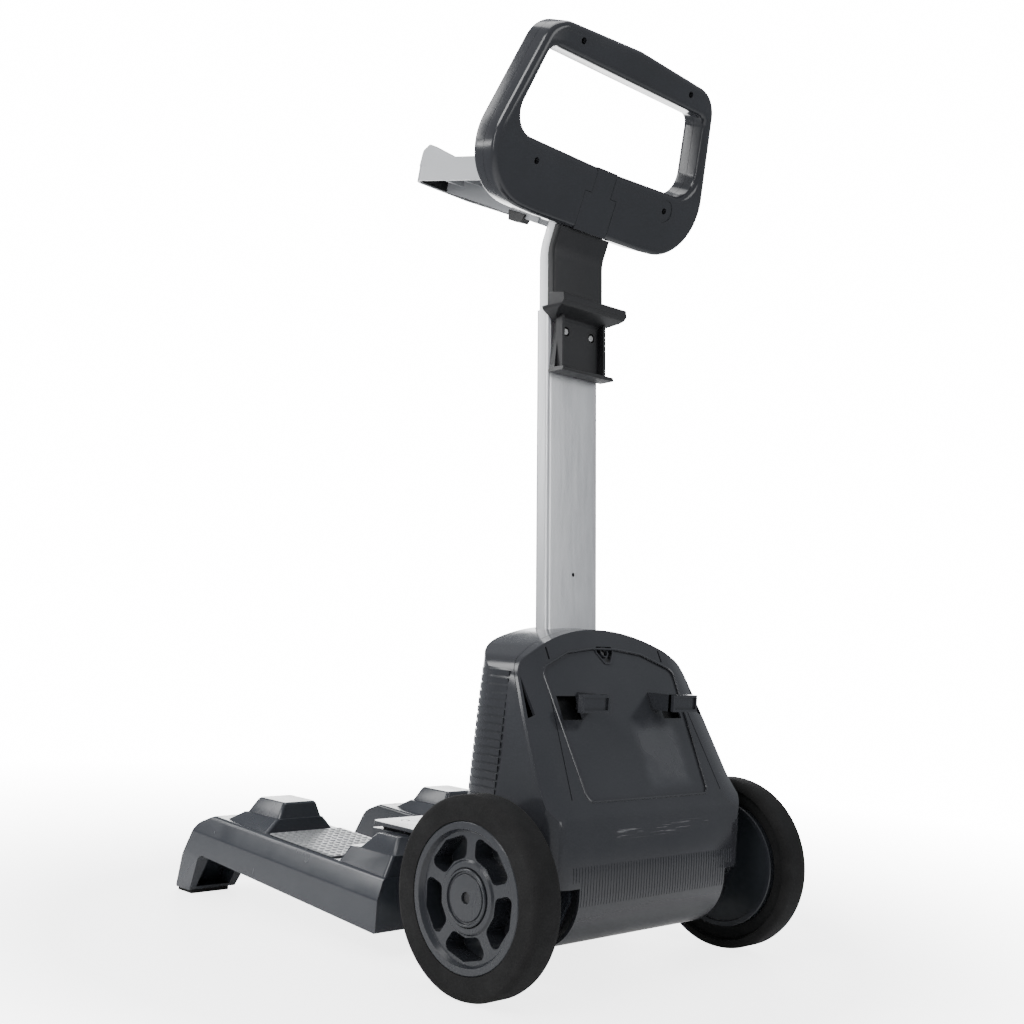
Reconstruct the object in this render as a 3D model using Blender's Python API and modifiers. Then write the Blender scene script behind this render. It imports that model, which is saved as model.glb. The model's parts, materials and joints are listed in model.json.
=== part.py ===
"""Wheeled caddy for a robotic pool cleaner.

A moulded deck with four chocks carries the cleaner.  Behind it a chassis holds the axle, the
two wheels and an aluminium mast with a ring handle, a control unit tray and a cable bracket.
Metres, +Z up.  +Y is the user's side, -Y is the deck's side, +X is the user's left hand when
the user faces the deck.  Y is written from the axle; one empty moves the whole object so that
its origin is the centre of its footprint.
"""
import math

import bmesh
import bpy
from mathutils import Matrix, Vector

# ---------------------------------------------------------------- driving dimensions
GAP = 0.0003                # clearance between pieces that touch
PLAY = 0.0005               # running clearance of turning pieces

WHEEL_R = 0.095             # tread radius, also the axle height
WHEEL_WIDTH = 0.0363
TRACK_OUT = 0.2182          # outer face of a wheel from the centre plane
RIM_R = 0.0706
CAP_R = 0.027
HUB_BOSS_R = 0.033
SPOKES = 5
SPOKE_WIDTH = 0.0115
POCKET_FILLET = 0.0065
AXLE_R = 0.006

MAST_WIDTH = 0.0832
MAST_DEPTH = 0.020
MAST_CORNER = 0.005
TUBE_WALL = 0.0016
MAST_LEAN = math.radians(4.43)
MAST_BACK_Y = -0.0517       # back face of the mast where it meets the ground plane
MAST_FOOT = 0.062           # along the mast, from the ground plane
MAST_TOP = 0.703
MAST_OVERLAP = 0.080        # how far the upper tube reaches into the lower one
BEND_AT = 0.7706            # along the mast
BEND_RADIUS = 0.050

HANDLE_TILT = math.radians(18.7)
HANDLE_RISE = 0.083         # from the bend to the lower handle screws
HANDLE_DEPTH = 0.037
HANDLE_EDGE = 0.007         # rounding of the grip
HANDLE_WALL = 0.003
HANDLE_TOP = 0.149
HANDLE_BOTTOM = -0.0535
HANDLE_TOP_HALF = 0.1375
HANDLE_BOTTOM_HALF = 0.1915
GRIP_TOP = 0.1165
GRIP_BOTTOM = 0.020
GRIP_TOP_HALF = 0.131
GRIP_BOTTOM_HALF = 0.1545
NECK_INSET = 0.0145         # handle rear face to the neck tube's back face
NECK_TOP = -0.006           # end of the neck tube inside the handle
INSERT_HALF = 0.0262
INSERT_STEP_HALF = 0.0158
INSERT_STEP = -0.010
COVER_PROUD = 0.009         # thickness of the neck cover

SHELL_WALL = 0.0035         # moulded shells of the lower housing
COVER_SLOPE = math.radians(27.3)
COVER_LOW_Y = 0.0434        # outer face of the sloped panel at COVER_LOW_Z
COVER_LOW_Z = 0.183
CREASE_Z = 0.168
CREASE_BLEND = 0.010        # the crease is eased over this height each way
COVER_HEAD = 0.360          # the cover's face is drawn this high, then cut by its arch
BARREL_R = 0.058            # rolled-under bottom of the rear cover
BARREL_Y = -0.0025
BARREL_HALF = 0.117
ARCH_TOP = 0.350
ARCH_RADIUS = 0.270
SHOULDER_R = 0.030
HOUSING_FRONT = -0.108
HOUSING_CORNER = 0.055
HOUSING_TOP_HALF = 0.1325   # front part of the housing
HOUSING_LOW_HALF = 0.1416
COVER_TOP_HALF = 0.1328     # rear edge of the housing
COVER_LOW_HALF = 0.1618
SEAM = 0.0125               # depth of the cover's side flange
SEAM_GAP = 0.0007
STRIP_TOP_X = 0.1025        # the line where the cover's side strips start to fall back
STRIP_TOP_Z = 0.308
STRIP_LOW_X = 0.1255
STRIP_LOW_Z = 0.151
STRIP_FALL = 0.0088
VENT_RIM = 0.0028

HOOK_REACH = 0.0249         # outer face of the cable hooks
HOOK_TOP = 0.286
HOOK_HEIGHT = 0.018
HOOK_INNER = 0.0519
HOOK_TIP = 0.0932

CHASSIS_HALF = 0.120
CHASSIS_TOP = 0.122
CHASSIS_FRONT = -0.236
CHASSIS_REAR = 0.046
CHASSIS_WALL = 0.004
BUSH_R = 0.0095

ARM_OUT = 0.190             # the two deck arms, each from ARM_IN to ARM_OUT
ARM_IN = 0.072
ARM_FLAT = 0.183            # outer limit of an arm's top face
ARM_FRONT = -0.540
ARM_REAR = -0.154
ARM_WALL = 0.0035
DECK_TILT = math.radians(3.0)
DECK_TOP = 0.0943           # height of the top face at DECK_TOP_Y
DECK_TOP_Y = -0.372
SHOULDER_DROP = 0.0225      # the arm's sloped outer edge
SKIRT_SLOPE = math.radians(4.5)
SKIRT_Z = 0.0266            # lower edge of the skirt at the rear
LEG_BACK = -0.510
NOSE_START = -0.466         # the arm's top face falls away in front of this
NOSE_DROP = 0.0115
LEG_TAPER = 0.012
FOOT_T = 0.004
CHOCK_STEP_Z = 0.1085
CHOCK_TOP_Z = 0.1268
STOP_STEP_Z = 0.1035
STOP_TOP_Z = 0.1190
PAD_T = 0.0015

TRAY_HALF = 0.100
TRAY_TILT = math.radians(9.5)
TRAY_LENGTH = 0.178
TRAY_HEIGHT = 0.027
TRAY_WALL = 0.003
TRAY_HORN = 0.0155

AXLE_Y = -(ARM_FRONT + WHEEL_R) / 2        # puts the origin under the middle of the footprint
WHEEL_IN = TRACK_OUT - WHEEL_WIDTH
TIGHT = 0.00002                             # merge distance for welded points

PARTS = "pool_cleaner_caddy"


# ---------------------------------------------------------------- scene and materials
for old in list(bpy.data.objects):
    bpy.data.objects.remove(old, do_unlink=True)

parts = bpy.data.collections.new(PARTS)
tools = bpy.data.collections.new("cutters")
bpy.context.scene.collection.children.link(parts)
bpy.context.scene.collection.children.link(tools)


def material(name, colour, roughness, metallic=0.0):
    made = bpy.data.materials.new(name)
    made.use_nodes = True
    shader = made.node_tree.nodes["Principled BSDF"]
    shader.inputs["Base Color"].default_value = (*colour, 1.0)
    shader.inputs["Roughness"].default_value = roughness
    shader.inputs["Metallic"].default_value = metallic
    return made


CHARCOAL = material("gloss_charcoal_plastic", (0.055, 0.060, 0.070), 0.28)
DECK_GREY = material("satin_charcoal_plastic", (0.070, 0.074, 0.082), 0.42)
MATTE_BLACK = material("matte_black_plastic", (0.022, 0.022, 0.024), 0.62)
SILVER = material("anodised_aluminium", (0.62, 0.63, 0.65), 0.38, 1.0)
STEEL = material("zinc_plated_steel", (0.55, 0.55, 0.54), 0.35, 1.0)
FOAM = material("black_foam_rubber", (0.016, 0.015, 0.014), 0.85)
GRIP = material("grey_grip_sheet", (0.115, 0.118, 0.122), 0.55)
LIGHT = material("light_grey_plastic", (0.36, 0.37, 0.39), 0.45)
NYLON = material("natural_nylon", (0.58, 0.57, 0.53), 0.5)


def empty(name, location, rotation=(0.0, 0.0, 0.0), parent=None):
    made = bpy.data.objects.new(name, None)
    made.location = location
    made.rotation_euler = rotation
    made.parent = parent
    tools.objects.link(made)
    return made


MAST_ROOT = (0.0, MAST_BACK_Y, 0.0)
ALONG = Vector((0.0, -math.sin(MAST_LEAN), math.cos(MAST_LEAN)))
BACKWARD = Vector((0.0, math.cos(MAST_LEAN), math.sin(MAST_LEAN)))
UP_HANDLE = Vector((0.0, math.sin(HANDLE_TILT), math.cos(HANDLE_TILT)))
OFF_HANDLE = Vector((0.0, math.cos(HANDLE_TILT), -math.sin(HANDLE_TILT)))

TUBE_INSET = TUBE_WALL + GAP                # upper tube inside the lower one
BEND_BACK = Vector(MAST_ROOT) + ALONG * BEND_AT - BACKWARD * TUBE_INSET
HANDLE_ROOT = BEND_BACK + UP_HANDLE * HANDLE_RISE + OFF_HANDLE * NECK_INSET

datum = empty("axle_datum", (0.0, AXLE_Y, 0.0))
mast_axis = empty("mast_axis", MAST_ROOT, (MAST_LEAN, 0.0, 0.0), datum)
handle_plane = empty("handle_plane", HANDLE_ROOT, (math.pi / 2 - HANDLE_TILT, 0.0, 0.0), datum)


# ---------------------------------------------------------------- modelling helpers
def place(made, paint, parent, location=(0, 0, 0), rotation=(0, 0, 0)):
    """Put a finished piece in the model, or a cutter in the cutters when it has no paint."""
    made.location = location
    made.rotation_euler = rotation
    made.parent = parent
    if paint is None:
        tools.objects.link(made)
        made.hide_render = True
        made.display_type = "WIRE"
    else:
        parts.objects.link(made)
        made.data.materials.append(paint)
    return made


def mesh_object(name, shape):
    bmesh.ops.remove_doubles(shape, verts=shape.verts, dist=TIGHT)
    bmesh.ops.recalc_face_normals(shape, faces=shape.faces)
    data = bpy.data.meshes.new(name)
    shape.to_mesh(data)
    shape.free()
    return bpy.data.objects.new(name, data)


def box(name, low, high):
    shape = bmesh.new()
    size = [high[i] - low[i] for i in range(3)]
    middle = [(high[i] + low[i]) / 2 for i in range(3)]
    matrix = Matrix.Translation(middle) @ Matrix.Diagonal((*size, 1.0))
    bmesh.ops.create_cube(shape, size=1.0, matrix=matrix)
    return mesh_object(name, shape)


def rods(name, radius, start, end, axis, centres, sides=24):
    """Parallel cylinders in one mesh, each at the two other coordinates in centres."""
    shape = bmesh.new()
    turn = {"X": Matrix.Rotation(math.pi / 2, 4, "Y"),
            "Y": Matrix.Rotation(math.pi / 2, 4, "X"),
            "Z": Matrix.Identity(4)}[axis]
    middle = (start + end) / 2
    for centre in centres:
        spot = {"X": (middle, centre[0], centre[1]),
                "Y": (centre[0], middle, centre[1]),
                "Z": (centre[0], centre[1], middle)}[axis]
        bmesh.ops.create_cone(shape, cap_ends=True, segments=sides, radius1=radius, radius2=radius,
                              depth=abs(end - start), matrix=Matrix.Translation(spot) @ turn)
    made = mesh_object(name, shape)
    smooth(made)
    return made


def rod(name, radius, start, end, axis="Z", centre=(0.0, 0.0), sides=24):
    return rods(name, radius, start, end, axis, [centre], sides)


def smooth(made, angle=35.0):
    made.data.shade_smooth()
    made.data.set_sharp_from_angle(angle=math.radians(angle))


def rounded(corners, steps=5):
    """Outline through corners (x, y, radius) with each corner rounded by an arc."""
    outline = []
    count = len(corners)
    for i, (x, y, radius) in enumerate(corners):
        here = Vector((x, y))
        before = Vector(corners[i - 1][:2]) - here
        after = Vector(corners[(i + 1) % count][:2]) - here
        if radius <= 0.0:
            outline.append((x, y))
            continue
        bend = before.angle(after)
        back = radius / math.tan(bend / 2)
        centre = here + (before.normalized() + after.normalized()).normalized() * (
            radius / math.sin(bend / 2))
        first = here + before.normalized() * back - centre
        last = here + after.normalized() * back - centre
        sweep = first.angle_signed(last)
        for k in range(steps + 1):
            spoke = first.copy()
            spoke.rotate(Matrix.Rotation(-sweep * k / steps, 2))
            outline.append(tuple(centre + spoke))
    return outline


def plate(name, outlines, low, high, bevel=0.0, offset=0.0, bevel_steps=3):
    """A flat sheet from outlines in the local XY plane, between two heights in local Z."""
    curve = bpy.data.curves.new(name, "CURVE")
    curve.dimensions = "2D"
    curve.fill_mode = "BOTH"
    curve.extrude = (high - low) / 2 - bevel
    curve.bevel_depth = bevel
    curve.bevel_resolution = bevel_steps
    curve.offset = offset - bevel
    for outline in outlines:
        spline = curve.splines.new("POLY")
        spline.points.add(len(outline) - 1)
        for point, (x, y) in zip(spline.points, outline):
            point.co = (x, y, 0.0, 1.0)
        spline.use_cyclic_u = True
    carrier = bpy.data.objects.new(name + "_curve", curve)
    tools.objects.link(carrier)
    bpy.context.view_layer.update()
    evaluated = carrier.evaluated_get(bpy.context.evaluated_depsgraph_get())
    data = bpy.data.meshes.new_from_object(evaluated)
    shape = bmesh.new()
    shape.from_mesh(data)
    bmesh.ops.translate(shape, verts=shape.verts, vec=(0.0, 0.0, (low + high) / 2))
    bpy.data.objects.remove(carrier, do_unlink=True)
    bpy.data.curves.remove(curve)
    bpy.data.meshes.remove(data)
    return mesh_object(name, shape)


def loft(name, rings):
    """A closed solid through rings of equal point count, with a flat cap at each end."""
    shape = bmesh.new()
    layers = [[shape.verts.new(point) for point in ring] for ring in rings]
    for lower, upper in zip(layers, layers[1:]):
        for i in range(len(lower)):
            shape.faces.new((lower[i - 1], lower[i], upper[i], upper[i - 1]))
    shape.faces.new(layers[0])
    shape.faces.new(layers[-1])
    return mesh_object(name, shape)


def turned(name, profile, sides=48, closed=False):
    """A turned solid from (radius, height) points, run from top to bottom on the outside."""
    shape = bmesh.new()
    spots = [shape.verts.new((radius, 0.0, height)) for radius, height in profile]
    for first, second in zip(spots, spots[1:]):
        shape.edges.new((first, second))
    if closed:
        shape.edges.new((spots[-1], spots[0]))
    data = bpy.data.meshes.new(name)
    shape.to_mesh(data)
    shape.free()
    made = bpy.data.objects.new(name, data)
    screw = made.modifiers.new("turn", "SCREW")
    screw.steps = sides
    screw.render_steps = sides
    screw.use_merge_vertices = True
    screw.merge_threshold = TIGHT
    screw.use_smooth_shade = True
    return made


def combine(target, tool, operation):
    step = target.modifiers.new(operation.lower(), "BOOLEAN")
    step.operation = operation
    step.solver = "EXACT"
    step.object = tool
    return target


def cut(target, *cutters):
    for tool in cutters:
        combine(target, tool, "DIFFERENCE")


def join(target, *pieces):
    for piece in pieces:
        combine(target, piece, "UNION")


def trim(target, *limits):
    for limit in limits:
        combine(target, limit, "INTERSECT")


# Turns that stand a flat outline up: its plane is YZ (extruded along X) or XZ (along -Y).
FACING_X = (math.pi / 2, 0.0, math.pi / 2)
FACING_Y = (math.pi / 2, 0.0, 0.0)


def helper(made, parent=None, location=(0, 0, 0), rotation=(0, 0, 0)):
    return place(made, None, parent or datum, location, rotation)


def screw_piece(name, head_r, head_h, shank_r, length, paint, parent, location, rotation):
    """A pan head screw whose head's top is at its origin and whose shank runs along -Z."""
    profile = [(0.0, 0.0), (head_r * 0.8, 0.0), (head_r, -head_h * 0.5), (head_r, -head_h),
               (shank_r, -head_h), (0.0, -length)]
    return place(turned(name, profile, 10), paint, parent, location, rotation)


# ---------------------------------------------------------------- wheels
def wheel(side, sign):
    """One wheel: foam tyre, five-spoke hub, centre cap, washer and axle clip."""
    axis = empty("wheel_" + side + "_axis", (0.0, 0.0, WHEEL_R), (0, sign * math.pi / 2, 0), datum)
    half = WHEEL_WIDTH / 2
    middle = TRACK_OUT - half
    shoulder = 0.007
    arc = [math.radians(90 * k / 3) for k in range(4)]
    outer_shoulder = [(WHEEL_R - shoulder * (1 - math.sin(a)), half - shoulder * (1 - math.cos(a)))
                      for a in arc]
    inner_shoulder = [(WHEEL_R - shoulder * (1 - math.cos(a)), -half + shoulder * (1 - math.sin(a)))
                      for a in arc]
    seat = RIM_R + GAP
    profile = [(seat, half - 0.0015)] + outer_shoulder + inner_shoulder
    profile += [(WHEEL_R - 0.009, -half), (WHEEL_R - 0.011, -half + 0.007), (seat, -half + 0.007)]
    tyre = turned("tyre_" + side, profile, 48, closed=True)
    place(tyre, FOAM, axis, (0, 0, middle))

    face = half - 0.0015
    bore = AXLE_R + PLAY
    hub_profile = [(bore, face - 0.010), (CAP_R + GAP + 0.0006, face - 0.010),
                   (CAP_R + GAP + 0.0006, face - 0.003), (HUB_BOSS_R, face - 0.003),
                   (HUB_BOSS_R + 0.002, face - 0.005), (RIM_R - 0.010, face - 0.005),
                   (RIM_R - 0.007, face), (RIM_R - 0.001, face), (RIM_R, face - 0.001),
                   (RIM_R, -half + 0.001), (RIM_R - 0.001, -half), (RIM_R - 0.0055, -half),
                   (RIM_R - 0.0065, -half + 0.003), (0.016, -half + 0.003), (0.015, -half),
                   (bore, -half)]
    hub = turned("hub_" + side, hub_profile, 48, closed=True)
    place(hub, CHARCOAL, axis, (0, 0, middle))
    for k in range(SPOKES):
        inner, outer = HUB_BOSS_R + 0.004, RIM_R - 0.0115
        aim = 2 * math.pi * (k + 0.5) / SPOKES + math.pi * (1 + sign) / 2
        pocket = []
        for radius, turn in ((inner, -1), (outer, -1), (outer, 0), (outer, 1), (inner, 1), (inner, 0)):
            swing = math.pi / SPOKES - math.asin(SPOKE_WIDTH / 2 / radius)
            swing *= turn
            fillet = 0.0 if turn == 0 else POCKET_FILLET
            reach = radius / math.cos(swing / 2) if turn == 0 else radius
            pocket.append((reach * math.cos(aim + swing), reach * math.sin(aim + swing), fillet))
        name = "pocket_%s_%d" % (side, k + 1)
        tool = plate(name, [rounded(pocket, 3)], -half + 0.006, half + 0.01)
        helper(tool, axis, (0, 0, middle))
        cut(hub, tool)

    cap_floor = face - 0.0065
    cap_top = face - 0.0008
    cap_profile = [(0.0, cap_top - 0.0042), (0.0052, cap_top - 0.0042), (0.0055, cap_top - 0.001),
                   (0.0215, cap_top - 0.001), (0.0222, cap_top - 0.0024), (0.0238, cap_top - 0.0024),
                   (0.0245, cap_top), (CAP_R - 0.001, cap_top), (CAP_R, cap_top - 0.001),
                   (CAP_R, cap_floor), (CAP_R - 0.003, cap_floor),
                   (CAP_R - 0.003, cap_top - 0.0045), (0.008, cap_top - 0.0045),
                   (0.0075, cap_top - 0.0052), (0.0, cap_top - 0.0052)]
    cap = turned("hub_cap_" + side, cap_profile, 24)
    place(cap, CHARCOAL, axis, (0, 0, middle))

    washer = turned("axle_washer_" + side, [(AXLE_R + GAP, 0.0016), (0.0125, 0.0016), (0.0125, 0.0),
                                            (AXLE_R + GAP, 0.0)], 16, closed=True)
    place(washer, STEEL, axis, (0, 0, WHEEL_IN - GAP - 0.0016))
    clip_z = middle + face - 0.010 + GAP
    clip = turned("axle_clip_" + side, [(AXLE_R + GAP / 2, 0.0012), (0.011, 0.0012), (0.0125, 0.0004),
                                        (0.0125, 0.0), (AXLE_R + GAP / 2, 0.0)], 16, closed=True)
    place(clip, STEEL, axis, (0, 0, clip_z))
    return axis


wheel("left", 1)
wheel("right", -1)

AXLE_END = TRACK_OUT - 0.0015 - 0.0085
axle = place(rod("axle", AXLE_R, -AXLE_END, AXLE_END, "X", (0.0, WHEEL_R), 24), STEEL, datum)


# ---------------------------------------------------------------- chassis, bushes and spacers
chassis_outline = rounded([
    (CHASSIS_FRONT, 0.030, 0.006), (CHASSIS_FRONT, CHASSIS_TOP, 0.008),
    (CHASSIS_REAR - 0.012, CHASSIS_TOP, 0.010), (CHASSIS_REAR, 0.095, 0.012),
    (0.030, 0.058, 0.012), (-0.030, 0.045, 0.012), (-0.120, 0.030, 0.0)], 4)
chassis = plate("chassis", [chassis_outline], -CHASSIS_HALF, CHASSIS_HALF)
place(chassis, DECK_GREY, datum, rotation=FACING_X)
chassis_hollow = helper(plate("chassis_hollow", [rounded([
    (CHASSIS_FRONT + CHASSIS_WALL, 0.010, 0.0),
    (CHASSIS_FRONT + CHASSIS_WALL, CHASSIS_TOP - CHASSIS_WALL, 0.004),
    (CHASSIS_REAR - 0.018, CHASSIS_TOP - CHASSIS_WALL, 0.006),
    (CHASSIS_REAR - CHASSIS_WALL, 0.093, 0.008), (0.026, 0.010, 0.0)], 3)],
    CHASSIS_WALL - CHASSIS_HALF, CHASSIS_HALF - CHASSIS_WALL), rotation=FACING_X)
cut(chassis, chassis_hollow)
for side, sign in (("left", 1), ("right", -1)):
    outer = sign * CHASSIS_HALF
    inner = sign * (CHASSIS_HALF - CHASSIS_WALL)
    boss = helper(rod("axle_boss_" + side, 0.015, inner - sign * 0.012, inner + sign * 0.001, "X",
                      (0.0, WHEEL_R), 24))
    join(chassis, boss)
    hole = helper(rod("bush_hole_" + side, BUSH_R, inner - sign * 0.02, outer + sign * 0.01, "X",
                      (0.0, WHEEL_R), 24))
    cut(chassis, hole)
    bush_profile = [(AXLE_R + GAP, 0.0025), (0.0130, 0.0025), (0.0130, 0.0), (BUSH_R - GAP, 0.0),
                    (BUSH_R - GAP, -0.015), (AXLE_R + GAP, -0.015)]
    bush = turned("axle_bush_" + side, bush_profile, 16, closed=True)
    place(bush, NYLON, datum, (sign * (CHASSIS_HALF + GAP), 0.0, WHEEL_R), (0, sign * math.pi / 2, 0))
    spacer_start = CHASSIS_HALF + GAP + 0.0025 + GAP
    spacer_end = WHEEL_IN - 2 * GAP - 0.0016
    spacer = turned("wheel_spacer_" + side, [
        (AXLE_R + GAP, spacer_end), (0.0110, spacer_end), (0.0110, spacer_start),
        (AXLE_R + GAP, spacer_start)], 16, closed=True)
    place(spacer, MATTE_BLACK, datum, (0.0, 0.0, WHEEL_R), (0, sign * math.pi / 2, 0))


# ---------------------------------------------------------------- lower housing
def cover_face_y(z):
    """Outer face of the sloped panel."""
    return COVER_LOW_Y - math.tan(COVER_SLOPE) * (z - COVER_LOW_Z)


def cover_half(z):
    """Half width of the housing at its rear edge."""
    share = max(0.0, (z - 0.108) / (0.330 - 0.108))
    return COVER_LOW_HALF + (COVER_TOP_HALF - COVER_LOW_HALF) * share ** 1.35


def arch_outline(inset, bottom):
    """Outline of the housing seen from behind, an arch on flared sides."""
    radius = ARCH_RADIUS - inset
    centre_z = ARCH_TOP - ARCH_RADIUS
    levels = [0.125, 0.170, 0.215, 0.260]
    side = [(cover_half(0.108) - inset, bottom, 0.0)]
    side += [(cover_half(z) - inset, z, 0.0) for z in levels]
    corner_x = cover_half(0.318) - inset
    corner_z = centre_z + math.sqrt(radius ** 2 - corner_x ** 2)
    top = []
    reach = math.asin((corner_x - SHOULDER_R * 1.05) / radius)
    for k in range(9):
        angle = reach * (1 - k / 4)
        top.append((radius * math.sin(angle), centre_z + radius * math.cos(angle), 0.0))
    right = side + [(corner_x, corner_z, SHOULDER_R - inset)]
    left = [(-x, z, r) for x, z, r in reversed(right)]
    return rounded(right + top + left, 4)


def cover_profile(inset):
    """Rear face from the top down to the rolled-under bottom, as (y, z) points."""
    top = (cover_face_y(COVER_HEAD), COVER_HEAD, COVER_SLOPE)
    fold = (cover_face_y(CREASE_Z + CREASE_BLEND), CREASE_Z + CREASE_BLEND, COVER_SLOPE)
    barrel = Vector((BARREL_Y + BARREL_R, WHEEL_R + 0.020))
    knee = Vector((cover_face_y(CREASE_Z), CREASE_Z))
    lean = math.atan2(barrel.x - knee.x, knee.y - barrel.y)
    low = knee.lerp(barrel, CREASE_BLEND / (knee.y - barrel.y))
    middle = (knee.x - CREASE_BLEND * 0.06, CREASE_Z, (COVER_SLOPE + lean) / 2)
    points = []
    for y, z, tilt in (top, fold, middle, (low.x, low.y, lean)):
        points.append((y - math.cos(tilt) * inset, z - math.sin(tilt) * inset))
    points.append((barrel.x - inset, barrel.y))
    for k in range(11):
        angle = math.radians(-9.5 * k)
        points.append((BARREL_Y + (BARREL_R - inset) * math.cos(angle),
                       WHEEL_R + (BARREL_R - inset) * math.sin(angle)))
    return points


def strip_start(z):
    """Where the flat panel ends and its side strip starts to fall back."""
    share = (z - STRIP_LOW_Z) / (STRIP_TOP_Z - STRIP_LOW_Z)
    return STRIP_LOW_X + (STRIP_TOP_X - STRIP_LOW_X) * share


def strip_wedge(name, sign, inset):
    """What is taken off outside a side strip, or off the inside by the wall's thickness."""
    rings = []
    for z, fall in ((STRIP_LOW_Z, 0.45), (CREASE_Z + CREASE_BLEND, 0.85), (0.200, 1.0), (COVER_HEAD, 1.0)):
        start = strip_start(z)
        width = cover_half(min(z, 0.330)) - start
        face = cover_face_y(max(z, CREASE_Z)) - inset / math.cos(COVER_SLOPE)
        ring = []
        for k in range(6):
            share = k / 4
            ring.append((sign * (start + width * share), face - STRIP_FALL * fall * share ** 1.7, z))
        far = sign * (start + width * 1.25)
        ring += [(far, face + 0.05, z), (sign * start, face + 0.05, z)]
        rings.append(ring)
    return helper(loft(name, rings))


def seam_line(shift):
    """Where the rear cover meets the front housing, from the bottom up."""
    return [(0.014 + shift, 0.085), (0.018 + shift, 0.150),
            (cover_face_y(0.205) - SEAM + shift, 0.205),
            (cover_face_y(COVER_HEAD) - SEAM + shift, COVER_HEAD)]


def plan_limit(inset):
    """Rounded rear corners of the lower part, seen from above."""
    half = COVER_LOW_HALF + 0.0015 - inset
    back = BARREL_Y + BARREL_R + 0.001 - inset
    corner = 0.040 - inset
    return rounded([(half, -0.25, 0.0), (half, back, corner), (-half, back, corner),
                    (-half, -0.25, 0.0)], 6)


rear_cover = plate("rear_cover", [cover_profile(0.0) + seam_line(0.0)], -0.18, 0.18)
place(rear_cover, CHARCOAL, datum, rotation=FACING_X)
notched = arch_outline(0.0, 0.104)
low_right, low_left = notched[0], notched[-1]
notched = notched + [(-BARREL_HALF, low_left[1]), (-BARREL_HALF, 0.0), (BARREL_HALF, 0.0),
                     (BARREL_HALF, low_right[1])]
trim(rear_cover,
     helper(plate("cover_outline", [notched], -0.15, 0.15), rotation=FACING_Y),
     helper(plate("cover_plan", [plan_limit(0.0)], 0.0, 0.4)))
inside = helper(plate("cover_inside", [cover_profile(SHELL_WALL) + [(-0.25, 0.03), (-0.25, COVER_HEAD)]],
                      -0.18, 0.18), rotation=FACING_X)
trim(inside,
     helper(plate("inside_outline", [arch_outline(SHELL_WALL, -0.01)], -0.3, 0.3), rotation=FACING_Y),
     helper(plate("inside_plan", [plan_limit(SHELL_WALL)], -0.05, 0.4)))
for side, sign in (("left", 1), ("right", -1)):
    cut(inside, strip_wedge("inside_strip_" + side, sign, SHELL_WALL))
    cut(rear_cover, strip_wedge("cover_strip_" + side, sign, 0.0))
cut(rear_cover, inside)

PANEL_TURN = (math.pi / 2 + COVER_SLOPE, 0.0, 0.0)
panel = empty("panel_plane", (0.0, COVER_LOW_Y, COVER_LOW_Z), PANEL_TURN, datum)


def up_panel(z):
    """Distance along the sloped panel from its reference line to a height."""
    return (z - COVER_LOW_Z) / math.cos(COVER_SLOPE)


# Local Z of the panel plane points into the housing.
recess_top = [(0.107, up_panel(0.309), 0.012), (0.060, up_panel(0.3255), 0.0),
              (0.020, up_panel(0.3300), 0.0), (-0.020, up_panel(0.3300), 0.0),
              (-0.060, up_panel(0.3255), 0.0), (-0.107, up_panel(0.309), 0.012)]
recess_outline = rounded([(-0.0975, 0.0, 0.010), (0.0975, 0.0, 0.010)] + recess_top, 4)
cut(rear_cover, helper(plate("panel_recess", [recess_outline], -0.01, 0.0016), panel))
for side, sign in (("left", 1), ("right", -1)):
    slit = box("cover_slit_" + side, (sign * 0.0917 - 0.0012, up_panel(0.318), -0.01),
               (sign * 0.0917 + 0.0012, up_panel(0.330), 0.01))
    vent = [(sign * (cover_half(z) - inward), up_panel(z), 0.0)
            for z, inward in ((0.304, VENT_RIM), (0.2637, VENT_RIM), (0.266, VENT_RIM + 0.0085))]
    cut(rear_cover, helper(slit, panel),
        helper(plate("side_vent_" + side, [rounded(vent)], -0.01, 0.014), panel))

# Cable hooks: a stem at the inner end and an arm that points outward.
hook_low = HOOK_TOP - HOOK_HEIGHT
for side, sign in (("left", 1), ("right", -1)):
    inner, tip = sign * HOOK_INNER, sign * HOOK_TIP
    stem_end = sign * (HOOK_INNER + 0.011)
    arm = box("hook_arm_" + side, (min(inner, tip), HOOK_REACH - 0.007, hook_low),
              (max(inner, tip), HOOK_REACH, HOOK_TOP))
    stem = box("hook_stem_" + side, (min(inner, stem_end), -0.012, hook_low),
               (max(inner, stem_end), HOOK_REACH - 0.0035, HOOK_TOP))
    hole_in, hole_out = sign * (HOOK_INNER + 0.014), sign * (HOOK_TIP + 0.003)
    hole = box("hook_hole_" + side, (min(hole_in, hole_out), -0.05, hook_low - 0.009),
               (max(hole_in, hole_out), 0.045, HOOK_TOP - 0.004))
    cut(rear_cover, helper(hole))
    join(rear_cover, helper(stem), helper(arm))

# Screw pocket at the top of the panel.
POCKET_Z = 0.3275
POCKET_DEPTH = 0.011
pocket_v = up_panel(POCKET_Z)
join(rear_cover,
     helper(rod("pocket_wall", 0.0100, 0.0005, POCKET_DEPTH, "Z", (0.0, pocket_v), 20), panel))
cut(rear_cover,
    helper(rod("pocket_bore", 0.0072, -0.01, POCKET_DEPTH - 0.003, "Z", (0.0, pocket_v), 20), panel),
    helper(rod("pocket_screw_hole", 0.0024, 0.0, 0.03, "Z", (0.0, pocket_v), 16), panel))
screw_piece("cover_top_screw", 0.0045, 0.0028, 0.0020, 0.018, STEEL, panel,
            (0.0, pocket_v, POCKET_DEPTH - 0.003 - GAP - 0.0028), (math.pi, 0, 0))


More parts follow.
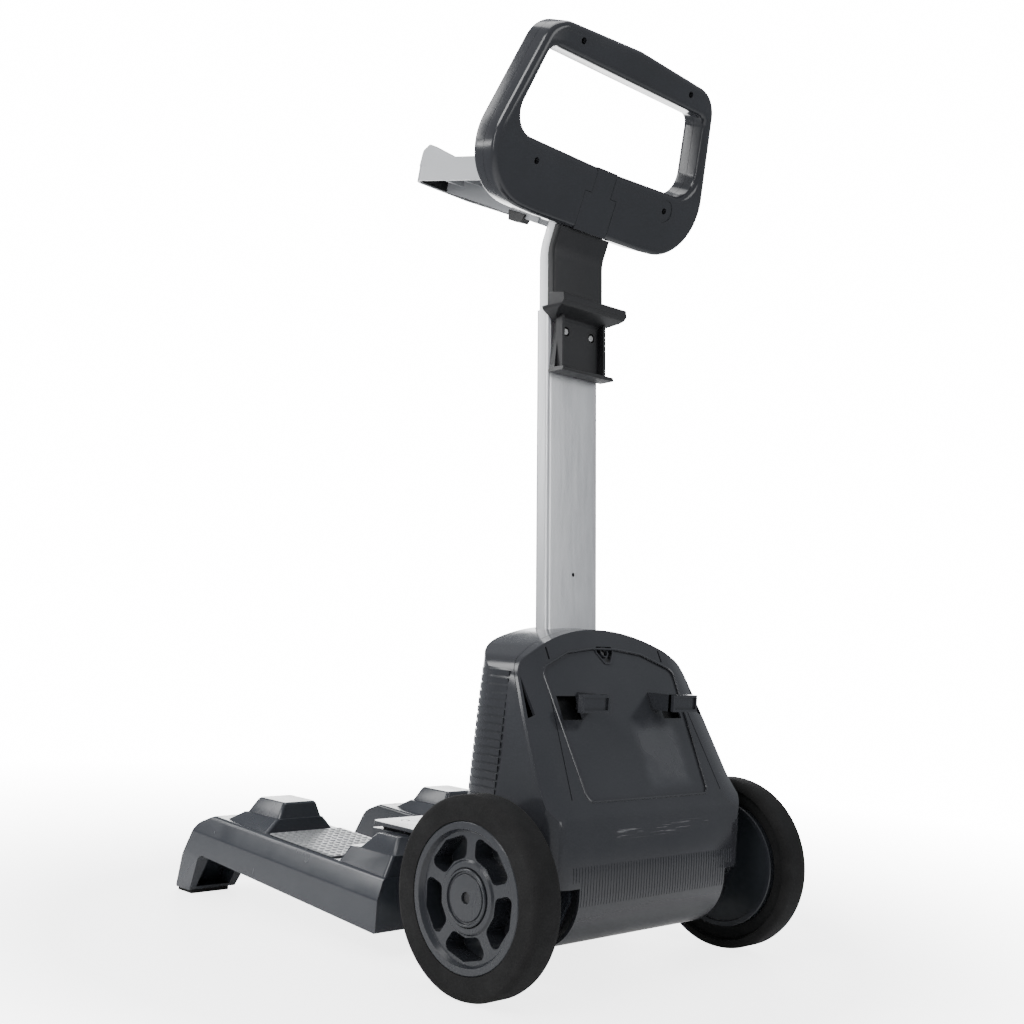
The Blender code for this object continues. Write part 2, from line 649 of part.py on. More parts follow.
def housing_ring(z, inset):
    """Plan outline of the front housing at a height, rear edge wider than the front."""
    share = (z - 0.108) / (0.360 - 0.108)
    front = HOUSING_LOW_HALF + (HOUSING_TOP_HALF - HOUSING_LOW_HALF) * share
    rear = cover_half(min(z, 0.330))
    back_y = 0.060
    wide = rear + (rear - front) * 0.10
    ring = rounded([(wide - inset, back_y, 0.0), (front + 0.002 - inset, HOUSING_FRONT + inset,
                    HOUSING_CORNER - inset), (-front - 0.002 + inset, HOUSING_FRONT + inset,
                    HOUSING_CORNER - inset), (-wide + inset, back_y, 0.0)], 7)
    return [(x, y, z) for x, y in ring]


HOUSING_BASE = CHASSIS_TOP + GAP
levels = (HOUSING_BASE, 0.180, 0.260, 0.360)
front_housing = loft("front_housing", [housing_ring(z, 0.0) for z in levels])
place(front_housing, CHARCOAL, datum)
side_outline = seam_line(-SEAM_GAP) + [(-0.2, 0.36), (-0.2, 0.05)]
trim(front_housing,
     helper(plate("housing_side", [side_outline], -0.2, 0.2), rotation=FACING_X),
     helper(plate("housing_arch", [arch_outline(0.0, 0.05)], -0.15, 0.2), rotation=FACING_Y))
hollow = helper(loft("housing_hollow", [housing_ring(z, SHELL_WALL) for z in
                                        (0.05, 0.180, 0.260, 0.360)]))
trim(hollow, helper(plate("hollow_arch", [arch_outline(SHELL_WALL, 0.04)], -0.15, 0.2),
                    rotation=FACING_Y))
cut(front_housing, hollow)


def mast_ring(half, front, back, corner):
    """Rounded rectangle of the mast's cross section, in mast coordinates."""
    return rounded([(half, back, corner), (-half, back, corner), (-half, front, corner),
                    (half, front, corner)], 3)


tower = mast_ring(MAST_WIDTH / 2 + GAP, -MAST_DEPTH - GAP, GAP, MAST_CORNER)
cut(front_housing, helper(plate("mast_opening", [tower], 0.25, 0.40), mast_axis))

# ---------------------------------------------------------------- mast
mast_half = MAST_WIDTH / 2
mast_lower = plate("mast_lower_tube", [mast_ring(mast_half, -MAST_DEPTH, 0.0, MAST_CORNER)],
                   MAST_FOOT, MAST_TOP)
place(mast_lower, SILVER, mast_axis)
inner_ring = mast_ring(mast_half - TUBE_WALL, -MAST_DEPTH + TUBE_WALL, -TUBE_WALL,
                       MAST_CORNER - TUBE_WALL)
cut(mast_lower, helper(plate("mast_bore", [inner_ring], 0.0, 0.8), mast_axis))
pin_hole = rod("pin_hole", 0.0022, -0.01, 0.01, "Y", (0.0, 0.4095), 12)
cut(mast_lower, helper(pin_hole, mast_axis))

SOCKET_HALF = mast_half + 0.012
SOCKET_TOP = 0.185
mast_socket = box("mast_socket", (-SOCKET_HALF, -MAST_DEPTH - 0.008, CHASSIS_TOP + 0.006),
                  (SOCKET_HALF, 0.008, SOCKET_TOP))
place(mast_socket, MATTE_BLACK, mast_axis)
cut(mast_socket, helper(plate("socket_bore", [mast_ring(mast_half + GAP, -MAST_DEPTH - GAP, GAP,
                                                        MAST_CORNER)], 0.0, 0.3), mast_axis))
cut(chassis, helper(plate("chassis_mast_bore", [mast_ring(mast_half + GAP, -MAST_DEPTH - GAP, GAP,
                                                          MAST_CORNER)], 0.05, 0.3), mast_axis))
BOLT_R = 0.004
BOLT_Z = 0.155
bolt_y = -MAST_DEPTH / 2
for target, name in ((mast_socket, "socket_bolt_hole"), (mast_lower, "mast_bolt_hole")):
    hole = rod(name, BOLT_R + GAP, -0.2, 0.2, "X", (bolt_y, BOLT_Z), 16)
    cut(target, helper(hole, mast_axis))
bolt_length = 2 * SOCKET_HALF + 0.017
bolt = [(0.0, 0.005), (0.0068, 0.005), (0.0068, 0.0), (BOLT_R, 0.0),
        (BOLT_R, -bolt_length + 0.001), (BOLT_R - 0.001, -bolt_length), (0.0, -bolt_length)]
place(turned("mast_bolt", bolt, 16), STEEL, mast_axis, (SOCKET_HALF + GAP, bolt_y, BOLT_Z),
      (0, math.pi / 2, 0))
nut_sides = [[(radius * math.cos(2 * math.pi * k / count), radius * math.sin(2 * math.pi * k / count))
              for k in range(count)] for radius, count in ((0.0078, 6), (BOLT_R + GAP, 16))]
place(plate("mast_nut", nut_sides, 0.0, 0.0065), STEEL, mast_axis, (-SOCKET_HALF - GAP, bolt_y, BOLT_Z),
      (0, -math.pi / 2, 0))

# The upper tube leans with the mast, then bends back to the handle's plane.
UPPER_HALF = mast_half - TUBE_INSET
UPPER_DEPTH = MAST_DEPTH - 2 * TUBE_INSET
bend_angle = MAST_LEAN + HANDLE_TILT
trim_back = BEND_RADIUS * math.tan(bend_angle / 2)
BEND_STEPS = 6


def neck_stations(start, end_v):
    """Back-face points and back normals along the neck: start on the mast, end on the handle."""
    stations = []
    begin = Vector(MAST_ROOT) + ALONG * start - BACKWARD * TUBE_INSET
    if start < BEND_AT - trim_back - 0.004:
        stations.append((begin, 0.0))
    centre = BEND_BACK - ALONG * trim_back + BACKWARD * BEND_RADIUS
    for k in range(BEND_STEPS + 1):
        turn = bend_angle * k / BEND_STEPS
        back = Matrix.Rotation(-turn, 3, "X") @ BACKWARD
        stations.append((centre - back * BEND_RADIUS, turn))
    stations.append((HANDLE_ROOT - OFF_HANDLE * NECK_INSET + UP_HANDLE * end_v, bend_angle))
    return stations


def neck_loft(name, section, start, end_v):
    """Sweep an (x, backward) section along the neck."""
    rings = []
    for spot, turn in neck_stations(start, end_v):
        back = Matrix.Rotation(-turn, 3, "X") @ BACKWARD
        rings.append([(x, spot.y + back.y * b, spot.z + back.z * b) for x, b in section])
    return loft(name, rings)


mast_upper = neck_loft("mast_upper_tube", mast_ring(UPPER_HALF, -UPPER_DEPTH, 0.0, 0.0035),
                       MAST_TOP - MAST_OVERLAP, NECK_TOP)
place(mast_upper, SILVER, datum)
bore = mast_ring(UPPER_HALF - TUBE_WALL, -UPPER_DEPTH + TUBE_WALL, -TUBE_WALL, 0.0018)
cut(mast_upper, helper(neck_loft("upper_bore", bore, MAST_TOP - MAST_OVERLAP - 0.01,
                                 NECK_TOP + 0.01)))

wall = 0.0025
cover_half_w = mast_half + 0.0007
cover_section = rounded([(cover_half_w, GAP, 0.0), (cover_half_w, COVER_PROUD, 0.0035),
                         (-cover_half_w, COVER_PROUD, 0.0035), (-cover_half_w, GAP, 0.0)], 3)
cover_section += rounded([(-cover_half_w + wall, GAP, 0.0),
                          (-cover_half_w + wall, COVER_PROUD - wall, 0.001),
                          (cover_half_w - wall, COVER_PROUD - wall, 0.001),
                          (cover_half_w - wall, GAP, 0.0)], 2)
NECK_COVER_TOP = HANDLE_BOTTOM - 2 * GAP
neck_cover = neck_loft("neck_cover", cover_section, MAST_TOP + 0.001, NECK_COVER_TOP)
place(neck_cover, MATTE_BLACK, datum)

# ---------------------------------------------------------------- bracket on the mast
BRACKET_LOW = 0.630
BRACKET_TOP = 0.7165
SHELF_REACH = 0.033
LEDGE_REACH = 0.022
PLATE_T = 0.0075
MAST_FACE = GAP
# The part above the lower tube's end stays clear of the neck cover.
bracket_side = [(MAST_FACE, BRACKET_LOW, 0.002), (LEDGE_REACH, BRACKET_LOW, 0.0015),
                (LEDGE_REACH, BRACKET_LOW + 0.0045, 0.0015), (PLATE_T, BRACKET_LOW + 0.0055, 0.001),
                (PLATE_T, MAST_TOP - 0.011, 0.006), (SHELF_REACH - 0.004, MAST_TOP - 0.003, 0.004),
                (SHELF_REACH, MAST_TOP + 0.0015, 0.002), (SHELF_REACH - 0.001, BRACKET_TOP - 0.004, 0.002),
                (COVER_PROUD + 0.002, BRACKET_TOP, 0.001), (COVER_PROUD, MAST_TOP - 0.0005, 0.0),
                (MAST_FACE, MAST_TOP - 0.0005, 0.0)]
bracket = plate("mast_bracket", [rounded(bracket_side, 3)], -0.053, 0.053)
place(bracket, MATTE_BLACK, mast_axis, rotation=FACING_X)
bracket_front = rounded([(0.044, BRACKET_LOW - 0.002, 0.002), (0.040, BRACKET_LOW + 0.008, 0.004),
                         (0.0335, MAST_TOP - 0.014, 0.004), (0.053, MAST_TOP - 0.004, 0.006),
                         (0.053, BRACKET_TOP + 0.001, 0.003), (-0.053, BRACKET_TOP + 0.001, 0.003),
                         (-0.053, MAST_TOP - 0.004, 0.006), (-0.0335, MAST_TOP - 0.014, 0.004),
                         (-0.040, BRACKET_LOW + 0.008, 0.004), (-0.044, BRACKET_LOW - 0.002, 0.002)], 3)
trim(bracket, helper(plate("bracket_outline", [bracket_front], -0.05, 0.01), mast_axis,
                     rotation=FACING_Y))
for side, sign in (("left", 1), ("right", -1)):
    low_x, high_x = sorted((sign * 0.0325, sign * 0.0365))
    gusset = box("bracket_gusset_" + side, (low_x, PLATE_T - 0.001, BRACKET_LOW + 0.003),
                 (high_x, PLATE_T + 0.008, MAST_TOP - 0.009))
    join(bracket, helper(gusset, mast_axis))
    spot = (sign * 0.021, PLATE_T, 0.6785)
    cut(bracket,
        helper(rod("bracket_bore_" + side, 0.0052, PLATE_T - 0.003, PLATE_T + 0.01, "Y",
                   (spot[0], spot[2]), 16), mast_axis),
        helper(rod("bracket_hole_" + side, 0.0022, -0.02, PLATE_T, "Y", (spot[0], spot[2]), 12),
               mast_axis))
    cut(mast_lower, helper(rod("mast_screw_hole_" + side, 0.0022, -0.01, 0.01, "Y",
                               (spot[0], spot[2]), 12), mast_axis))
    cut(mast_upper, helper(rod("upper_screw_hole_" + side, 0.0022, -0.01, 0.01, "Y",
                               (spot[0], spot[2]), 12), mast_axis))
    screw_piece("bracket_screw_" + side, 0.0042, 0.0025, 0.0018, 0.014, STEEL, mast_axis,
                (spot[0], PLATE_T - 0.003 + GAP + 0.0025, spot[2]), (-math.pi / 2, 0, 0))


# ---------------------------------------------------------------- handle
handle_outer = rounded([
    (HANDLE_TOP_HALF, HANDLE_TOP - 0.004, 0.036), (0.0, HANDLE_TOP + 0.003, 0.0),
    (-HANDLE_TOP_HALF, HANDLE_TOP - 0.004, 0.036),
    (-HANDLE_BOTTOM_HALF, HANDLE_BOTTOM + 0.006, 0.064), (-0.090, HANDLE_BOTTOM, 0.0),
    (0.090, HANDLE_BOTTOM, 0.0), (HANDLE_BOTTOM_HALF, HANDLE_BOTTOM + 0.006, 0.064)], 6)
grip_opening = rounded([
    (GRIP_TOP_HALF, GRIP_TOP, 0.014), (-GRIP_TOP_HALF, GRIP_TOP, 0.014),
    (-GRIP_BOTTOM_HALF, GRIP_BOTTOM + 0.002, 0.026), (0.0, GRIP_BOTTOM - 0.002, 0.0),
    (GRIP_BOTTOM_HALF, GRIP_BOTTOM + 0.002, 0.026)], 4)
PARTING = HANDLE_DEPTH / 2
HANDLE_SCREWS = {"upper_left": (0.0928, 0.1330), "upper_right": (-0.0928, 0.1330),
                 "lower_left": (0.1091, 0.0), "lower_right": (-0.1091, 0.0)}

neck_pocket = [(UPPER_HALF + GAP, -0.10), (UPPER_HALF + GAP, NECK_TOP + GAP),
               (-UPPER_HALF - GAP, NECK_TOP + GAP), (-UPPER_HALF - GAP, -0.10)]
insert_outline = [(INSERT_HALF, HANDLE_BOTTOM - 0.01), (INSERT_HALF, INSERT_STEP),
                  (INSERT_STEP_HALF, INSERT_STEP), (INSERT_STEP_HALF, 0.05),
                  (-INSERT_STEP_HALF, 0.05), (-INSERT_STEP_HALF, INSERT_STEP),
                  (-INSERT_HALF, INSERT_STEP), (-INSERT_HALF, HANDLE_BOTTOM - 0.01)]


def grown(outline, amount):
    """The insert's outline, wider by a clearance on both sides."""
    return [(x + math.copysign(amount, x), y + (amount if y == INSERT_STEP else 0.0))
            for x, y in outline]


def handle_half(name, low, high, channel_low, channel_high):
    """One half of the ring, hollow towards the parting plane, with its four screw bosses."""
    half = plate(name, [handle_outer, grip_opening], 0.0, HANDLE_DEPTH, bevel=HANDLE_EDGE, bevel_steps=2)
    place(half, CHARCOAL, handle_plane)
    trim(half, helper(box(name + "_limit", (-0.3, -0.2, low), (0.3, 0.3, high)), handle_plane))
    channel = plate(name + "_channel", [handle_outer, grip_opening], channel_low, channel_high,
                    offset=-HANDLE_WALL - 0.001)
    cut(half, helper(channel, handle_plane))
    for spot, (x, v) in HANDLE_SCREWS.items():
        boss = rod(name + "_boss_" + spot, 0.0062, max(low, 0.001) + 0.001,
                   min(high, HANDLE_DEPTH - 0.001) - 0.001, "Z", (x, v), 16)
        join(half, helper(boss, handle_plane))
    wall_low, wall_high = max(low, 0.001), min(high, HANDLE_DEPTH - 0.001)
    block = box(name + "_block", (-UPPER_HALF - 0.006, HANDLE_BOTTOM + 0.004, wall_low),
                (UPPER_HALF + 0.006, GRIP_BOTTOM - 0.004, wall_high))
    join(half, helper(block, handle_plane))
    return half


rear_half = handle_half("handle_rear_shell", -0.01, PARTING - GAP / 2, HANDLE_WALL, PARTING + 0.01)
front_half = handle_half("handle_front_shell", PARTING + GAP / 2, HANDLE_DEPTH + 0.01,
                         PARTING - 0.01, HANDLE_DEPTH - HANDLE_WALL)
tube_low, tube_high = NECK_INSET - GAP, NECK_INSET + UPPER_DEPTH + GAP
pocket_cut = helper(plate("neck_pocket", [neck_pocket], tube_low, tube_high), handle_plane)
window = helper(plate("insert_window", [grown(insert_outline, GAP)], -0.02, PARTING + 0.001),
                handle_plane)
for half in (rear_half, front_half):
    cut(half, pocket_cut)
cut(rear_half, window)

insert = plate("handle_centre_insert", [insert_outline], 0.0, NECK_INSET - 2 * GAP)
place(insert, CHARCOAL, handle_plane)
bar_outline = [(0.06, HANDLE_BOTTOM), (0.06, GRIP_BOTTOM - 0.0015), (-0.06, GRIP_BOTTOM - 0.0015),
               (-0.06, HANDLE_BOTTOM)]
trim(insert, helper(plate("insert_limit", [bar_outline], -0.01, 0.03), handle_plane))

HEAD_SINK = 0.008
screw_spots = list(HANDLE_SCREWS.values())
heads = helper(rods("handle_screw_heads", 0.0036, -0.02, HEAD_SINK, "Z", screw_spots, 14), handle_plane)
shanks = helper(rods("handle_screw_shanks", 0.0019, 0.001, PARTING + 0.013, "Z", screw_spots, 10),
                handle_plane)
cut(rear_half, heads, shanks)
cut(front_half, shanks)
for spot, (x, v) in HANDLE_SCREWS.items():
    screw_piece("handle_screw_" + spot, 0.0032, 0.0022, 0.0015, 0.026, STEEL, handle_plane,
                (x, v, HEAD_SINK - GAP - 0.0022), (math.pi, 0, 0))

# ---------------------------------------------------------------- control unit tray
# Tray frame: local X is the object's X, local -Y runs forward along the tray, local Z is its top.
tray_root = HANDLE_ROOT - OFF_HANDLE * HANDLE_DEPTH + UP_HANDLE * 0.004
tray_frame = empty("tray_frame", tray_root, (-TRAY_TILT, 0.0, 0.0), datum)
tray = plate("tray", [rounded([(TRAY_HALF, 0.02, 0.0), (-TRAY_HALF, 0.02, 0.0),
                               (-TRAY_HALF, -TRAY_LENGTH, 0.020), (0.0, -TRAY_LENGTH - 0.010, 0.0),
                               (TRAY_HALF, -TRAY_LENGTH, 0.020)], 5)], -TRAY_HEIGHT, 0.0)
place(tray, LIGHT, tray_frame)
inner_half = TRAY_HALF - TRAY_WALL
under = rounded([(inner_half, -0.022, 0.0), (-inner_half, -0.022, 0.0),
                 (-inner_half, TRAY_WALL - TRAY_LENGTH, 0.017), (0.0, TRAY_WALL - TRAY_LENGTH - 0.010, 0.0),
                 (inner_half, TRAY_WALL - TRAY_LENGTH, 0.017)], 4)
cut(tray, helper(plate("tray_hollow", [under], -0.1, -TRAY_WALL), tray_frame))
TRAY_RIB = 0.0025
for k in range(4):
    y = -0.052 - 0.032 * k
    rib = box("tray_rib_%d" % (k + 1), (-inner_half - 0.001, y, -TRAY_HEIGHT + 0.006),
              (inner_half + 0.001, y + TRAY_RIB, -TRAY_WALL + 0.001))
    join(tray, helper(rib, tray_frame))
GUSSET_IN = MAST_WIDTH / 2 + 0.0022
GUSSET_OUT = GUSSET_IN + 0.003
gusset_rear, gusset_front = (0.020, -0.0690), (-0.174, -0.0270)
gusset_side = [gusset_rear, (0.016, -0.050), (-0.010, -0.002), (-0.174, -0.002), gusset_front]
for side, sign in (("left", 1), ("right", -1)):
    low_x, high_x = sorted((sign * GUSSET_IN, sign * GUSSET_OUT))
    gusset = plate("tray_gusset_" + side, [gusset_side], low_x, high_x)
    join(tray, helper(gusset, tray_frame, rotation=FACING_X))
    low_x, high_x = sorted((sign * (TRAY_HALF - 0.010), sign * TRAY_HALF))
    horn_side = rounded([(-0.104, -0.002, 0.0), (-0.1555, TRAY_HORN, 0.004), (-0.166, 0.008, 0.006),
                         (-0.168, -0.010, 0.0), (-0.120, -0.010, 0.0)], 3)
    horn = plate("tray_horn_" + side, [horn_side], low_x, high_x)
    join(tray, helper(horn, tray_frame, rotation=FACING_X))
cut(tray, helper(box("tray_limit", (-0.3, -0.2, -0.05), (0.3, 0.3, HANDLE_DEPTH + GAP)), handle_plane))
for side, sign in (("left", 1), ("right", -1)):
    x, v = sign * 0.070, -0.010
    cut(front_half, helper(rod("tray_screw_way_" + side, 0.0019, PARTING + 0.004, HANDLE_DEPTH + 0.002,
                               "Z", (x, v), 12), handle_plane))
    cut(tray, helper(rod("tray_screw_hole_" + side, 0.0022, HANDLE_DEPTH - 0.001, HANDLE_DEPTH + 0.02,
                         "Z", (x, v), 12), handle_plane),
        helper(rod("tray_screw_bore_" + side, 0.0050, HANDLE_DEPTH + 0.0033, HANDLE_DEPTH + 0.030,
                   "Z", (x, v), 16), handle_plane))
    screw_piece("tray_screw_" + side, 0.0042, 0.0025, 0.0015, 0.017, STEEL, handle_plane,
                (x, v, HANDLE_DEPTH + 0.0033 + GAP + 0.0025), (0, 0, 0))
clip_outline = rounded([(-0.058, -0.0475, 0.0), (-0.056, -0.0595, 0.002), (-0.034, -0.0625, 0.002),
                        (-0.030, -0.0530, 0.0)], 3)
tray_clip = plate("tray_clip", [clip_outline], GUSSET_IN - 0.006, GUSSET_OUT + 0.003)
place(tray_clip, MATTE_BLACK, tray_frame, rotation=FACING_X)
clip_groove = [(gusset_rear[0], gusset_rear[1] - 1.2 * GAP), (gusset_front[0], gusset_front[1] - 1.2 * GAP),
               (gusset_front[0], 0.01), (gusset_rear[0], 0.01)]
cut(tray_clip, helper(plate("clip_groove", [clip_groove], GUSSET_IN - GAP, GUSSET_OUT + GAP),
                      tray_frame, rotation=FACING_X))


# ---------------------------------------------------------------- deck arms
def deck_top(y):
    return DECK_TOP - math.tan(DECK_TILT) * (y - DECK_TOP_Y)


def skirt(y):
    return SKIRT_Z + math.tan(SKIRT_SLOPE) * (ARM_REAR - y)


def arm_ring(y, inset, floor):
    """Cross section of the left arm at y: vertical inner wall, sloped outer shoulder."""
    top = deck_top(y)
    edge = top - SHOULDER_DROP
    ring = rounded([(ARM_IN + inset, floor, 0.0), (ARM_IN + inset, top - inset, 0.004),
                    (ARM_FLAT - inset, top - inset, 0.006), (ARM_OUT - inset, edge, 0.010),
                    (ARM_OUT - inset, floor, 0.0)], 3)
    return [(x, y, z) for x, z in ring]


LID_HALF = CHASSIS_HALF + 0.0135
for side, sign in (("left", 1), ("right", -1)):
    low_x, high_x = sorted((sign * (CHASSIS_HALF - 0.001), sign * LID_HALF))
    cheek = box("chassis_cheek_" + side, (low_x, CHASSIS_FRONT + 0.0005, 0.036),
                (high_x, ARM_REAR + 0.002, CHASSIS_TOP - 0.003))
    join(chassis, helper(cheek))
arm_side = rounded([
    (ARM_REAR, skirt(ARM_REAR), 0.002), (ARM_REAR, 0.16, 0.0), (NOSE_START, 0.16, 0.0),
    (NOSE_START, deck_top(NOSE_START) + 0.0005, 0.0),
    (-0.494, deck_top(NOSE_START) - NOSE_DROP, 0.026), (-0.513, 0.056, 0.040),
    (ARM_FRONT, FOOT_T + GAP, 0.002), (LEG_BACK, FOOT_T + GAP, 0.002),
    (-0.481, skirt(-0.481), 0.014)], 4)
LEG_WALL = 0.0045
leg_hollow_side = [(NOSE_START + 0.010, FOOT_T + GAP + LEG_WALL),
                   (ARM_FRONT + 0.0085, FOOT_T + GAP + LEG_WALL), (-0.508, 0.054),
                   (-0.491, 0.072), (NOSE_START - 0.002, 0.082), (NOSE_START + 0.010, 0.082)]


def chock(name, parent_arm, levels, sign):
    """A stepped block: a list of (x_in, x_out, y_front, y_rear, z) rectangles, base first."""
    rings = []
    for x_in, x_out, y_front, y_rear, z in levels:
        rings.append([(x * sign, y, z) for x, y in rounded(
            [(x_in, y_front, 0.004), (x_out, y_front, 0.004), (x_out, y_rear, 0.004),
             (x_in, y_rear, 0.004)], 2)])
    join(parent_arm, helper(loft(name, rings)))


for side, sign in (("left", 1), ("right", -1)):
    arm = loft("deck_arm_" + side, [[(x * sign, y, z) for x, y, z in arm_ring(y, 0.0, -0.02)]
                                    for y in (ARM_FRONT - 0.02, ARM_REAR)])
    place(arm, DECK_GREY, datum)
    trim(arm, helper(plate("arm_side_" + side, [arm_side], -0.25, 0.25), rotation=FACING_X))
    hollow = helper(loft("arm_hollow_" + side,
                         [[(x * sign, y, z) for x, y, z in arm_ring(y, ARM_WALL, -0.05)]
                          for y in (-0.466, ARM_REAR - ARM_WALL)]))
    low_x, high_x = sorted((sign * (ARM_IN + 0.054), sign * (ARM_OUT - LEG_TAPER - LEG_WALL)))
    leg_hollow = helper(plate("leg_hollow_" + side, [leg_hollow_side], low_x, high_x),
                        rotation=FACING_X)
    join(hollow, leg_hollow)
    cut(arm, hollow)
    low_x, high_x = sorted((sign * (ARM_IN + 0.001), sign * (LID_HALF + GAP + ARM_WALL)))
    wall_block = box("arm_corner_" + side, (low_x, CHASSIS_FRONT - 0.009, skirt(-0.2)),
                     (high_x, ARM_REAR - 0.001, 0.083))
    join(arm, helper(wall_block))
    low_x, high_x = sorted((0.0, sign * (LID_HALF + GAP)))
    seat = box("arm_seat_" + side, (low_x, CHASSIS_FRONT - 0.0052, -0.05), (high_x, 0.0, 0.2))
    taper = [(ARM_OUT - LEG_TAPER, -0.01), (ARM_OUT + 0.001, 0.052), (ARM_OUT + 0.03, 0.052),
             (ARM_OUT + 0.03, -0.01)]
    taper = [(x * sign, z) for x, z in taper]
    leg_cut = plate("leg_taper_" + side, [taper], 0.47, 0.60)
    leg_room = [(ARM_IN - 0.01, -0.05), (ARM_IN - 0.01, 0.040), (ARM_IN + 0.040, 0.040),
                (ARM_IN + 0.050, -0.05)]
    leg_room = [(x * sign, z) for x, z in leg_room]
    leg_side = plate("leg_room_" + side, [leg_room], 0.455, 0.60)
    lower = [(0.080, 0.183, -0.462, -0.3655, deck_top(-0.36) - 0.003),
             (0.0965, 0.1635, -0.436, -0.3680, CHOCK_STEP_Z),
             (0.0990, 0.1605, -0.4325, -0.3690, CHOCK_STEP_Z + 0.0006),
             (0.1050, 0.1535, -0.4240, -0.3720, CHOCK_TOP_Z - 0.002),
             (0.1070, 0.1515, -0.4220, -0.3740, CHOCK_TOP_Z)]
    chock("chock_" + side, arm, lower, sign)
    stop_in = LID_HALF + GAP + 0.0005
    rear = [(stop_in, 0.183, -0.240, -0.1550, deck_top(-0.16) - 0.006),
            (stop_in, 0.1705, -0.2275, -0.1560, STOP_STEP_Z),
            (stop_in, 0.1685, -0.2130, -0.1575, STOP_STEP_Z + 0.0008),
            (stop_in, 0.1545, -0.2060, -0.1690, STOP_TOP_Z - 0.0015),
            (stop_in, 0.1530, -0.2045, -0.1705, STOP_TOP_Z)]
    chock("rear_stop_" + side, arm, rear, sign)
    cut(arm, helper(seat), helper(leg_cut, rotation=FACING_Y), helper(leg_side, rotation=FACING_Y))
    pad_low, pad_high = sorted((sign * (ARM_IN + 0.004), sign * (ARM_FLAT - 0.004)))
    pad_outline = rounded([(pad_low, -0.362, 0.003), (pad_high, -0.362, 0.003),
                           (pad_high, -0.2455, 0.003), (pad_low, -0.2455, 0.003)], 2)
    pad = plate("grip_pad_" + side, [pad_outline], GAP, GAP + PAD_T)
    pad_plane = empty("pad_plane_" + side, (0.0, 0.0, deck_top(0.0)), (-DECK_TILT, 0.0, 0.0), datum)
    place(pad, GRIP, pad_plane)
    foot_in = ARM_IN + 0.0525
    foot_out = ARM_OUT - LEG_TAPER - 0.001
    low_x, high_x = sorted((sign * foot_in, sign * foot_out))
    foot = box("foot_pad_" + side, (low_x, ARM_FRONT + 0.0002, 0.0), (high_x, LEG_BACK - 0.001, FOOT_T))
    place(foot, FOAM, datum)
    for k, y in enumerate((-0.212, -0.178)):
        spot = (y, 0.068)
        wall_x = LID_HALF + GAP + ARM_WALL
        way = helper(rod("arm_bolt_way_%s_%d" % (side, k + 1), 0.0033, sign * 0.09, sign * (wall_x + 0.01),
                         "X", spot, 12))
        cut(arm, way)
        cut(chassis, way)
        screw_piece("arm_bolt_%s_%d" % (side, k + 1), 0.0062, 0.0035, 0.0030, 0.034, STEEL, datum,
                    (sign * (wall_x + GAP + 0.0035), *spot), (0, sign * math.pi / 2, 0))

# ---------------------------------------------------------------- lid
lid_outline = rounded([(LID_HALF, CHASSIS_FRONT - 0.003, 0.010), (LID_HALF, -0.150, 0.004),
                       (-LID_HALF, -0.150, 0.004), (-LID_HALF, CHASSIS_FRONT - 0.003, 0.010)], 4)
lid = plate("chassis_lid", [lid_outline], CHASSIS_TOP + GAP, CHASSIS_TOP + 0.0045)
place(lid, DECK_GREY, datum)
for side, sign in (("left", 1), ("right", -1)):
    for k, y in enumerate((-0.220, -0.165)):
        spot = (sign * 0.100, y)
        name = "%s_%d" % (side, k + 1)
        way = helper(rod("lid_way_" + name, 0.0022, CHASSIS_TOP - 0.02, CHASSIS_TOP + 0.01, "Z", spot, 12))
        sink = helper(rod("lid_sink_" + name, 0.0050, CHASSIS_TOP + 0.0022, CHASSIS_TOP + 0.01, "Z",
                          spot, 16))
        cut(lid, way, sink)
        cut(chassis, way)
        screw_piece("lid_screw_" + name, 0.0042, 0.0020, 0.0018, 0.012, STEEL, datum,
                    (*spot, CHASSIS_TOP + 0.0022 + GAP + 0.0020), (0, 0, 0))
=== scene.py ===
"""Visual model of a wheeled caddy for a robotic pool cleaner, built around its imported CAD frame."""
import json
import math

import bmesh
import bpy
from mathutils import Matrix, Vector

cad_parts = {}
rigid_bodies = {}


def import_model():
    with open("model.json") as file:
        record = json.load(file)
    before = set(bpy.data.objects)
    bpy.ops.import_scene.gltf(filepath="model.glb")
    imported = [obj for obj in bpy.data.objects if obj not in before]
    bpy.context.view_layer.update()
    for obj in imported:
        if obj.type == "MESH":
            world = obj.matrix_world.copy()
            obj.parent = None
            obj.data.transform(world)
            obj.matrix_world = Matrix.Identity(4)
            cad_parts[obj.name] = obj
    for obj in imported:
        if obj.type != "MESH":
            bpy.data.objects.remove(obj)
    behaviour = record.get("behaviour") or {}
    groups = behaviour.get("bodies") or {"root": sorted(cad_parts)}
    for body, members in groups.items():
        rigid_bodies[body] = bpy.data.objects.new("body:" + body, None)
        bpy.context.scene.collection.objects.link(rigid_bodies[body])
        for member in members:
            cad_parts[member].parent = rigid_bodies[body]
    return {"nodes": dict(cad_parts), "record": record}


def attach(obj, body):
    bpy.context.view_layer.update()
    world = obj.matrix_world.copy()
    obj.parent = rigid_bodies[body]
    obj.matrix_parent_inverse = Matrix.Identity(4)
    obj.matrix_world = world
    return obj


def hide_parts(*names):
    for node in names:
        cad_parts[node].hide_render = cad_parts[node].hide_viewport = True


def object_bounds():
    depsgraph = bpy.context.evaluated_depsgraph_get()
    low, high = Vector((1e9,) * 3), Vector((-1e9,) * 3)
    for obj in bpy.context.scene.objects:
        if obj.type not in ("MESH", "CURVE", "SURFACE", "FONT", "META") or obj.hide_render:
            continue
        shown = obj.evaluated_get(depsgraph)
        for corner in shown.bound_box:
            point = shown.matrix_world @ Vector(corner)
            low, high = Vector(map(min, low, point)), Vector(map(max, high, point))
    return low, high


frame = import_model()
